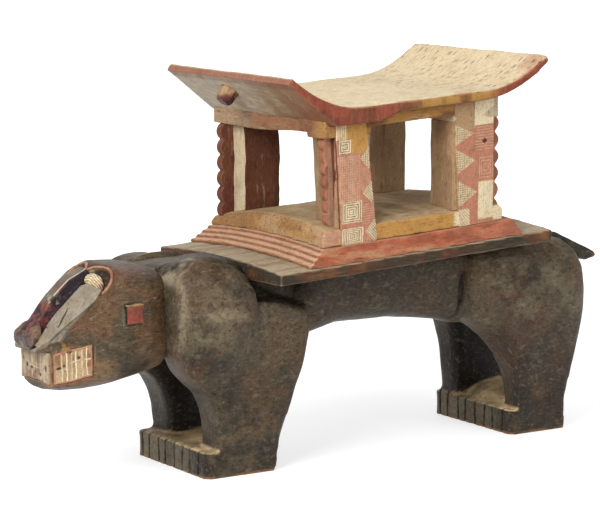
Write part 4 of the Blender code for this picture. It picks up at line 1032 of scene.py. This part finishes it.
class STOOL_OT_cheeks(bpy.types.Operator):
    """Shape the red squares in the cheeks"""
    bl_idname = "stool.cheeks"
    bl_label = "Cheek squares"

    def execute(self, context):
        for word, _ in SIDES:
            node = "cheek_inlay_" + word
            piece = solids("cheek_square_" + word, node)
            regrid(piece, context.scene.stool_sizes.face_cell, 3)
            spots = points(piece)
            low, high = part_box(node)
            middle = np.array((low + high) / 2)
            spots = middle + (spots - middle) * (1.13, 1.0, 1.16) + np.outer(np.sign(spots[:, 1]), (0.0, 0.0008, 0.0))
            place(piece, spots)
            push(piece, drift(spots, (90.0, 90.0, 90.0), 3.3) * 0.0009)
            low, high = Vector(spots.min(axis=0)), Vector(spots.max(axis=0))
            edge = np.minimum(np.minimum(spots[:, 0] - low.x, high.x - spots[:, 0]),
                              np.minimum(spots[:, 2] - low.z, high.z - spots[:, 2]))
            coat = Coat(piece, "red")
            coat.add(tint("brown"), 0.6 * ease(drift(spots, (80.0, 80.0, 80.0), 2.0), -0.1, 0.25))
            coat.add(tint("deep") * 0.6, ease(edge, 0.0012, 0.0004))
            # Painted highlight: a pale line along the top edge of the square.
            coat.add(tint("bare"), 0.7 * ease(spots[:, 2], high.z - 0.0022, high.z - 0.0010))
            coat.lay()
            finish(piece, "polished_paint", "red_paint", node)
        return {"FINISHED"}


class STOOL_OT_tail(bpy.types.Operator):
    """Carve the tail"""
    bl_idname = "stool.tail"
    bl_label = "Tail"

    def execute(self, context):
        piece = solids("tail_carved", "tail")
        regrid(piece, context.scene.stool_sizes.beam_cell, 2)
        spots = points(piece)
        push(piece, drift(spots, (40.0, 40.0, 40.0), 3.0) * 0.0009)
        coat = Coat(piece)
        coat.add(tint("raw"), ease(spots[:, 0], 0.409, 0.416) * ease(spots[:, 2], 0.212, 0.207) * 0.7)
        coat.lay()
        finish(piece, "animal_wood", "dark_wood", "tail")
        return {"FINISHED"}


class STOOL_OT_board(bpy.types.Operator):
    """Dress the board on the back"""
    bl_idname = "stool.board"
    bl_label = "Board"

    def execute(self, context):
        piece = solids("board_plank", "saddle_board")
        regrid(piece, context.scene.stool_sizes.board_cell, 2)
        spots, facing = points(piece), normals(piece)
        marks = scoops(spots, (22.0, 45.0, 45.0), 5.2)
        push(piece, marks * 0.0007 + drift(spots, (12.0, 20.0, 20.0), 4.1) * 0.0010)
        coat = Coat(piece)
        top = ease(facing[:, 2], 0.5, 0.9)
        coat.add(tint("grey_board") * 1.2, top * 0.85)
        coat.add(tint("olive") * 0.8, top * 0.5 * ease(drift(spots, (9.0, 60.0, 60.0), 2.0), 0.0, 0.3))
        edge = ease(1 - np.abs(facing[:, 2]), 0.3, 0.6)
        patch = drift(spots, (22.0, 22.0, 30.0), 7.0)
        coat.add(tint("deep"), edge * 0.7)
        coat.add(tint("brown") * 0.8, edge * 0.6 * ease(patch, 0.0, 0.25))
        coat.add(tint("rust") * 0.8, edge * 0.4 * ease(patch, 0.2, 0.45) * ease(spots[:, 1], -0.05, -0.12))
        coat.lay()
        finish(piece, "plank_wood", "board_wood", "saddle_board")
        return {"FINISHED"}


class STOOL_OT_base(bpy.types.Operator):
    """Dress the red base with its steps"""
    bl_idname = "stool.base"
    bl_label = "Stepped base"

    def execute(self, context):
        piece = solids("red_steps", "stepped_base")
        regrid(piece, context.scene.stool_sizes.board_cell * 0.95, 1)
        spots, facing = points(piece), normals(piece)
        push(piece, drift(spots, (16.0, 22.0, 40.0), 6.3) * 0.0008)
        coat = Coat(piece, "pink")
        patch = drift(spots, (22.0, 60.0, 60.0), 3.0)
        side = ease(np.abs(facing[:, 1]), 0.5, 0.8)
        coat.add(tint("orange"), side)
        coat.add(tint("bare"), side * 0.65 * ease(patch - 1.2 * (spots[:, 0] + 0.05), -0.05, 0.35))
        coat.add(tint("pink"), side * 0.4 * ease(spots[:, 0], 0.05, 0.18))
        coat.add(tint("brown"), side * 0.45 * ease(-patch, 0.05, 0.35))
        coat.marks = 0.5 * side
        front = ease(-facing[:, 0], 0.5, 0.8)
        coat.add(tint("line"), front * 0.85)
        tread = ease(facing[:, 2], 0.6, 0.85) * ease(spots[:, 0], -0.075, -0.095)
        coat.add(0.5 * (tint("cream") + tint("pink")), tread * 0.9)
        coat.lay()
        finish(piece, "level_paint", "red_paint", "stepped_base")
        return {"FINISHED"}


class STOOL_OT_plinth(bpy.types.Operator):
    """Dress the ochre plinth and its domed floor"""
    bl_idname = "stool.plinth"
    bl_label = "Plinth"

    def execute(self, context):
        piece = solids("ochre_plinth", "plinth")
        regrid(piece, context.scene.stool_sizes.board_cell, 1)
        spots, facing = points(piece), normals(piece)
        marks = scoops(spots, (20.0, 60.0, 60.0), 2.2)
        push(piece, marks * 0.0008 + drift(spots, (10.0, 30.0, 30.0), 9.1) * 0.0009)
        coat = Coat(piece, "bare")
        patch = drift(spots, (30.0, 12.0, 40.0), 4.0)
        front = ease(-facing[:, 0], 0.3, 0.7)
        coat.add(tint("ochre") * 0.85, front * 0.6 * ease(patch, -0.2, 0.2))
        coat.add(tint("brown"), front * 0.4 * ease(patch, 0.1, 0.35))
        floor = ease(facing[:, 2], 0.7, 0.93)
        coat.add(tint("dust"), floor * 0.75)
        coat.add(tint("olive"), floor * 0.5 * ease(patch, -0.1, 0.3))
        bald = np.hypot((spots[:, 0] - 0.03) / 0.05, (spots[:, 1] + 0.03) / 0.06)
        coat.add(tint("cream"), floor * 0.45 * ease(bald + patch, 1.0, 0.4))
        side = ease(np.abs(facing[:, 1]), 0.5, 0.8)
        coat.add(tint("ochre"), side)
        ends = np.maximum(ease(spots[:, 0], 0.098, 0.104), ease(spots[:, 0], -0.06, -0.07))
        coat.add(tint("cream"), side * ends * 0.9)
        coat.add(tint("pink"), side * ease(spots[:, 0], -0.064, -0.068) * 0.8)
        coat.marks = 0.5 * (floor + front)
        coat.lay()
        finish(piece, "level_paint", "ochre_paint", "plinth")
        return {"FINISHED"}


def lean(spots):
    """Set the front of the near front post back towards its foot."""
    rise = (level(spots) - PLATE_LOW) / (PLATE_TOP["front"] - PLATE_LOW)
    behind = ease(spots[:, 0], -0.040, -0.062) * (np.abs(spots[:, 1]) < PLATE_OUT - 0.004)
    return spots + np.outer(0.0085 * np.clip(1 - rise, 0.0, 1.0) * behind, (1.0, 0.0, 0.0))


class STOOL_OT_posts(bpy.types.Operator):
    """Carve and paint the four posts"""
    bl_idname = "stool.posts"
    bl_label = "Posts"

    def execute(self, context):
        for row in ROWS:
            for word, side in SIDES:
                self.post(context.scene.stool_sizes, row, word, side)
        return {"FINISHED"}

    def post(self, sizes, row, word, side):
        """One post with its painted face, which covers the ends of beam and plinth."""
        node = "post_%s_%s" % (row, word)
        name = "pillar_%s_%s" % (row, word)
        low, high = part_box(node)
        outer = high.y if side > 0 else -low.y
        leans = (0.0085, -0.0078, 0.0090) if row == "front" else (0.0095, 0.0, 0.0)
        piece = solids(name, node)
        shell = points(piece)
        foot = level(shell)[shell[:, 1] * side > outer - 0.0005].min()

        def corner(a, y, h):
            if a < 0:
                x = low.x + (leans[0] if h < 0 else 0.0)
            else:
                x = high.x + (leans[2] if h < 0 else leans[1])
            rise = PLATE_LOW if h < 0 else PLATE_TOP[row]
            return x, side * (PLATE_OUT if y > 0 else outer - 0.006), rise + SLOPE * (x - BOARD_FRONT)

        piece = gather(name, [piece, plank(corner)])
        regrid(piece, sizes.post_cell, 1)
        if node == "post_front_left":
            place(piece, lean(points(piece)))
        if node == "post_front_right":
            spots = points(piece)
            sway = drift(spots * (0.0, 0.0, 1.0), (1.0, 1.0, 22.0), 4.0) * ease(spots[:, 1], 0.120, 0.112)
            place(piece, spots + np.outer(0.0040 * sway, (0.0, 1.0, 0.0)))
        spots, facing = points(piece), normals(piece)
        skin = ease(spots[:, 1] * side, PLATE_OUT - 0.0014, PLATE_OUT - 0.0006)
        along, up = (spots[:, 0] - low.x) * 1000, (level(spots) - foot) * 1000
        coat = Coat(piece, "bare")
        patch = drift(spots, (25.0, 25.0, 12.0), 3.0 + side)
        front = ease(-facing[:, 0], 0.4, 0.7)
        plain = {"front_left": "olive", "front_right": "cream", "rear_left": "bare", "rear_right": "olive"}
        coat.add(tint(plain[row + "_" + word]) * (0.77 if node == "post_front_right" else 1.0), front * 0.9)
        coat.add(tint("bare"), front * 0.6 * ease(patch + 3.0 * (np.abs(spots[:, 1]) - 0.105), 0.0, 0.3))
        coat.add(tint("grime_and_shade"), front * 0.3 * ease(-patch, 0.05, 0.35))
        if node == "post_front_left":
            coat.add(tint("red") * 0.5, front * ease(-spots[:, 1], 0.112, 0.114) * 0.95)
        # Inner faces of the front posts dark brown, partly their paint and partly painted shade under the seat; those
        # of the rear posts olive.
        inner = ease(-facing[:, 1] * side, 0.4, 0.7)
        coat.add(0.8 * tint("brown") if row == "front" else tint("olive"), inner)
        coat.add(tint("grime_and_shade") * 0.8, inner * 0.6 * ease(patch, 0.0, 0.3))
        coat.add(tint("pink"), skin)
        figures = FRONT_FIGURES if row == "front" else REAR_FIGURES
        scale = 60.0 / ((high.x - low.x) * 1000) if row == "rear" else 1.0
        cuts = ornament(coat, figures, along * scale, up, skin)
        push(piece, -sizes.cut_depth * cuts + drift(spots, (30.0, 30.0, 30.0), 6.0) * 0.0007)
        coat.lay()
        finish(piece, "upright_paint", "cream_paint", node)


class STOOL_OT_fins(bpy.types.Operator):
    """Dress the scalloped fins"""
    bl_idname = "stool.fins"
    bl_label = "Fins"

    def execute(self, context):
        for row in ROWS:
            for word, side in SIDES:
                node = "fin_%s_%s" % (row, word)
                name = "scallops_%s_%s" % (row, word)
                piece = self.lobes(name, node, 7 if side < 0 else 6) if row == "front" else solids(name, node)
                regrid(piece, context.scene.stool_sizes.fin_cell, 1)
                if node == "fin_front_left":
                    place(piece, lean(points(piece)))
                spots = points(piece)
                push(piece, drift(spots, (30.0, 30.0, 30.0), 5.0 + side) * 0.0005)
                dark = row == "front" and word == "right"
                coat = Coat(piece, "brown" if dark else "pink")
                shade = tint("plum" if dark else "line") * 0.9
                coat.add(shade, 0.6 * ease(drift(spots, (45.0, 45.0, 30.0), 8.0), -0.05, 0.25))
                low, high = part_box(node)
                if row == "front" and not dark:
                    # Painted shade: the front-facing surfaces of the lobes darker.
                    coat.add(tint("line"), 0.6 * ease(normals(piece)[:, 0], -0.3, -0.6))
                    coat.add(tint("blush"), 0.5 * ease(spots[:, 0], low.x + 0.008, low.x + 0.010))
                coat.lay()
                finish(piece, "upright_paint", "pink_paint", node)
        return {"FINISHED"}

    def lobes(self, name, node, count):
        """Strip with round lobes along its front edge."""
        low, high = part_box(node)
        pitch = (high.z - low.z - 0.002) / count
        reach = 0.30 * (high.x - low.x)
        parts = [plank(lambda x, y, z: (high.x if x > 0 else low.x + reach, high.y if y > 0 else low.y,
                                        high.z if z > 0 else low.z))]
        for n in range(count):
            bpy.ops.object.select_all(action="DESELECT")
            bpy.ops.mesh.primitive_cylinder_add(vertices=32, radius=1.0, depth=high.y - low.y,
                                                location=(low.x + 1.25 * reach, (low.y + high.y) / 2,
                                                          low.z + 0.001 + pitch * (n + 0.5)),
                                                rotation=(radians(90.0), 0.0, 0.0),
                                                scale=(1.25 * reach, 0.53 * pitch, 1.0))
            bpy.ops.object.transform_apply(location=True, rotation=True, scale=True)
            parts.append(bpy.context.object)
        return gather(name, parts)


class STOOL_OT_beams(bpy.types.Operator):
    """Dress the beams and rails under the seat"""
    bl_idname = "stool.beams"
    bl_label = "Beams and rails"

    def execute(self, context):
        cell = context.scene.stool_sizes.beam_cell
        for row in ROWS:
            node = row + "_lintel"
            piece = solids("beam_" + row, node)
            regrid(piece, cell, 1)
            spots = points(piece)
            if row == "front":
                spots[:, 2] += 0.0055 * ease(-spots[:, 1], -0.04, 0.09) * ease(spots[:, 2], 0.408, 0.400) * (spots[:, 1] > -0.088)
                place(piece, spots)
            push(piece, drift(spots, (30.0, 14.0, 30.0), 2.0) * 0.0011)
            coat = Coat(piece, "olive" if row == "front" else "cream")
            coat.add(tint("line"), 0.65)
            patch = drift(spots, (24.0, 16.0, 24.0), 5.0)
            coat.add(tint("brown"), 0.6 * ease(patch, 0.0, 0.3))
            coat.add(tint("cream") * 0.8, 0.35 * ease(spots[:, 1] + 0.1 * patch, 0.0, 0.12))
            near = "ochre" if row == "front" else "cream"
            coat.add(tint(near) * 0.85, 0.6 * ease(-spots[:, 1], 0.09, 0.12))
            coat.marks = np.full(len(spots), 0.5)
            coat.lay()
            finish(piece, "cross_paint", "cream_paint", node)
        for word, _ in SIDES:
            node = "rail_" + word
            piece = solids("side_rail_" + word, node)
            regrid(piece, cell, 1)
            spots = points(piece)
            push(piece, drift(spots, (14.0, 30.0, 30.0), 4.0) * 0.0010)
            coat = Coat(piece, "ochre")
            coat.add(tint("brown"), 0.25)
            coat.add(tint("brown"), 0.85 * ease(drift(spots, (14.0, 60.0, 60.0), 1.0), -0.2, 0.25))
            coat.marks = np.full(len(spots), 0.4)
            coat.lay()
            finish(piece, "level_paint", "ochre_paint", node)
        return {"FINISHED"}


class STOOL_OT_seat(bpy.types.Operator):
    """Carve and paint the curved seat"""
    bl_idname = "stool.seat"
    bl_label = "Seat"

    def execute(self, context):
        piece = solids("seat_carved", "seat")
        regrid(piece, context.scene.stool_sizes.seat_cell, 2)
        low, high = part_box("seat")
        spots = points(piece)
        rub(piece, (spots[:, 0] > high.x - 0.016) & (np.abs(spots[:, 1]) > high.y - 0.014), 24)
        spots, facing = points(piece), normals(piece)
        top = ease(facing[:, 2], 0.35, 0.7)
        marks = scoops(spots, (30.0, 75.0, 30.0), 6.6)
        rear = ease(spots[:, 0], 0.02, 0.14)
        push(piece, marks * 0.0008 * top * (0.35 + 0.65 * rear) + drift(spots, (9.0, 14.0, 9.0), 3.7) * 0.0010)
        patch = drift(spots, (20.0, 30.0, 20.0), 2.0)
        coat = Coat(piece, "cream")
        coat.add(tint("ochre"), top * 0.12 * ease(patch, -0.1, 0.45))
        coat.add(tint("bare"), top * (0.12 * ease(-patch, 0.0, 0.45) + 0.14 * rear))
        bald = np.hypot((spots[:, 0] - high.x + 0.020) / 0.034, (spots[:, 1] - low.y) / 0.030)
        coat.add(tint("pink"), top * 0.5 * ease(bald + 0.8 * patch, 1.0, 0.3))
        under = ease(-facing[:, 2], 0.1, 0.45)
        coat.add(tint("grey") * 1.42, under)
        slope = -spots[:, 1] + 1.6 * (0.445 - spots[:, 2]) + 0.03 * patch
        coat.add(tint("olive"), under * 0.9 * ease(slope, -0.05, 0.10))
        coat.add(tint("line") * 1.1, under * 0.85 * ease(slope, 0.04, 0.17))
        streaks = drift(spots, (150.0, 50.0, 150.0), 6.0)
        coat.add(tint("cream"), under * 0.45 * ease(streaks, -0.1, 0.5) * ease(slope, 0.12, 0.0))
        side = ease(np.abs(spots[:, 1]), high.y - 0.0018, high.y - 0.0008) * ease(np.abs(facing[:, 1]), 0.4, 0.7)
        depth = self.depth(spots)
        coat.add(tint("ochre") * 0.85, side)
        coat.add(tint("brown"), side * 0.6 * ease(depth + 0.01 * patch, 0.010, 0.015))
        limit = 0.0205 - 0.17 * (spots[:, 0] + 0.03)
        crescent = np.where(spots[:, 0] < -0.03, 1.0, ease(depth - limit, 0.001, -0.001))
        front = ease(spots[:, 0], 0.040, 0.015) * crescent
        coat.add(tint("red"), side * np.maximum(front, ease(spots[:, 0], 0.140, 0.165)) * 0.95)
        coat.add(tint("brown") * 0.8, side * 0.6 * ease(patch, 0.0, 0.3))
        lip = ease(-facing[:, 0], 0.5, 0.75) * ease(spots[:, 0], low.x + 0.012, low.x + 0.007)
        coat.add(tint("red") * 0.85, lip * 0.85)
        verge = np.maximum(ease(np.abs(spots[:, 1]), high.y - 0.007, high.y - 0.001),
                           ease(spots[:, 0], high.x - 0.008, high.x - 0.001))
        coat.add(tint("pink"), top * verge * 0.75 * ease(patch + 0.3 * rear, 0.0, 0.35))
        coat.marks = 0.95 * top * ease(spots[:, 0], 0.045, 0.140)
        coat.lay()
        finish(piece, "seat_paint", "seat_wood", "seat")
        return {"FINISHED"}

    def depth(self, spots):
        """How far each vertex lies below the seat's upper face."""
        low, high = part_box("seat")
        front = np.clip((low.x + 0.099 - spots[:, 0]) / 0.099, 0.0, 1.0)
        rear = np.clip((spots[:, 0] - high.x + 0.090) / 0.090, 0.0, 1.0)
        return 0.4278 + 0.0432 * front ** 2 + 0.0341 * rear ** 2 - level(spots)


class STOOL_OT_peg(bpy.types.Operator):
    """Shape the stub of a peg under the seat"""
    bl_idname = "stool.peg"
    bl_label = "Peg"

    def execute(self, context):
        piece = solids("peg_stub", "seat_knob")
        regrid(piece, context.scene.stool_sizes.face_cell, 3)
        spots = points(piece)
        push(piece, drift(spots, (90.0, 90.0, 90.0), 2.0) * 0.0012)
        low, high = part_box("seat_knob")
        share = (spots[:, 2] - low.z) / (high.z - low.z)
        coat = Coat(piece, "bare")
        coat.add(tint("brown"), 0.6 * ease(drift(spots, (60.0, 60.0, 60.0), 5.0), -0.05, 0.25))
        coat.add(tint("plum") * 0.6, ease(share, 0.6, 0.35))
        coat.lay()
        finish(piece, "polished_paint", "ochre_paint", "seat_knob")
        return {"FINISHED"}


class STOOL_OT_stage(bpy.types.Operator):
    """Set the floor, the light and the camera"""
    bl_idname = "stool.stage"
    bl_label = "Stage"

    def execute(self, context):
        context.scene.view_settings.view_transform = "Standard"
        self.camera(context.scene)
        self.floor()
        self.lights(context.scene)
        return {"FINISHED"}

    def camera(self, scene):
        """Camera at the photograph's angle."""
        turn, rise = radians(-32.852), radians(8.633)
        back = Vector((sin(turn) * cos(rise), -cos(turn) * cos(rise), sin(rise)))
        bpy.ops.object.select_all(action="DESELECT")
        bpy.ops.object.camera_add(location=(-1.7458, -2.6429, 0.7066))
        eye = bpy.context.object
        eye.rotation_euler = (-back).to_track_quat("-Z", "Y").to_euler()
        eye.data.lens = 156.0
        eye.data.sensor_width = 36.0
        eye.data.clip_end = 200.0
        scene.camera = eye

    def floor(self):
        """Pale floor that keeps the shadow and reads white."""
        bpy.ops.object.select_all(action="DESELECT")
        bpy.ops.mesh.primitive_grid_add(x_subdivisions=4, y_subdivisions=4, size=120.0)
        floor = bpy.context.object
        floor.name = "floor"
        bench = Bench("pale_floor")
        bench.surface(base_color=(0.60, 0.60, 0.61), roughness=0.9)
        here = bench.node("ShaderNodeTexCoord", out="Object")
        away = bench.node("ShaderNodeVectorMath", {"operation": "LENGTH"}, {0: here}, "Value")
        white = bench.mix((0.62, 0.62, 0.62), (1.0, 1.0, 1.0), away.between(0.7, 2.2))
        rays = ("Is Camera Ray", "Is Glossy Ray", "Is Transmission Ray")
        seen = sum(bench.node("ShaderNodeLightPath", out=ray) for ray in rays)
        glow = bench.node("ShaderNodeEmission", None, {"Color": bench.mix((0.0, 0.0, 0.0), white, seen)})
        both = bench.node("ShaderNodeAddShader", None, {0: Tap(bench, bench.shader.outputs[0]), 1: glow})
        bench.tree.links.new(both.socket, bench.tree.nodes["Material Output"].inputs["Surface"])
        floor.data.materials.append(bench.material)

    def lights(self, scene):
        """Soft lamps and a pale world."""
        lamps = (("key", (-2.6, -1.2, 1.8), 1.6, 88.0), ("fill", (1.0, -3.0, 1.6), 2.2, 30.0),
                 ("top", (0.2, 0.2, 3.0), 1.6, 9.0), ("back", (1.2, 2.3, 1.9), 1.8, 14.0))
        for name, spot, size, power in lamps:
            bpy.ops.object.select_all(action="DESELECT")
            bpy.ops.object.light_add(type="AREA", location=spot)
            lamp = bpy.context.object
            lamp.name = name
            lamp.data.size = size
            lamp.data.energy = power
            aim = Vector((0.0, 0.0, 0.22)) - Vector(spot)
            lamp.rotation_euler = aim.to_track_quat("-Z", "Y").to_euler()
        world = bpy.data.worlds.new("studio")
        scene.world = world
        world.use_nodes = True
        ground = world.node_tree.nodes["Background"]
        ground.inputs["Color"].default_value = (1.0, 1.0, 1.0, 1.0)
        ground.inputs["Strength"].default_value = 0.40


STEPS = (STOOL_OT_stage, STOOL_OT_body, STOOL_OT_head, STOOL_OT_nose, STOOL_OT_eyes, STOOL_OT_ears, STOOL_OT_teeth,
         STOOL_OT_cheeks, STOOL_OT_tail, STOOL_OT_board, STOOL_OT_base, STOOL_OT_plinth, STOOL_OT_posts,
         STOOL_OT_fins, STOOL_OT_beams, STOOL_OT_seat, STOOL_OT_peg)


class STOOL_PT_panel(bpy.types.Panel):
    """List of the pieces"""
    bl_idname = "STOOL_PT_panel"
    bl_label = "Carved stool"
    bl_space_type = "VIEW_3D"
    bl_region_type = "UI"
    bl_category = "Stool"

    def draw(self, context):
        for step in STEPS:
            self.layout.operator(step.bl_idname)
        for group in (context.scene.stool_sizes, context.scene.stool_colours):
            box = self.layout.box()
            for name in group.__annotations__:
                box.prop(group, name)


CLASSES = (StoolSizes, StoolColours, *STEPS, STOOL_PT_panel)


def register():
    for cls in CLASSES:
        bpy.utils.register_class(cls)
    bpy.types.Scene.stool_sizes = bpy.props.PointerProperty(type=StoolSizes)
    bpy.types.Scene.stool_colours = bpy.props.PointerProperty(type=StoolColours)


def unregister():
    del bpy.types.Scene.stool_sizes
    del bpy.types.Scene.stool_colours
    for cls in reversed(CLASSES):
        bpy.utils.unregister_class(cls)


def main():
    register()
    for step in STEPS:
        group, name = step.bl_idname.split(".")
        getattr(getattr(bpy.ops, group), name)()


if __name__ == "__main__":
    main()
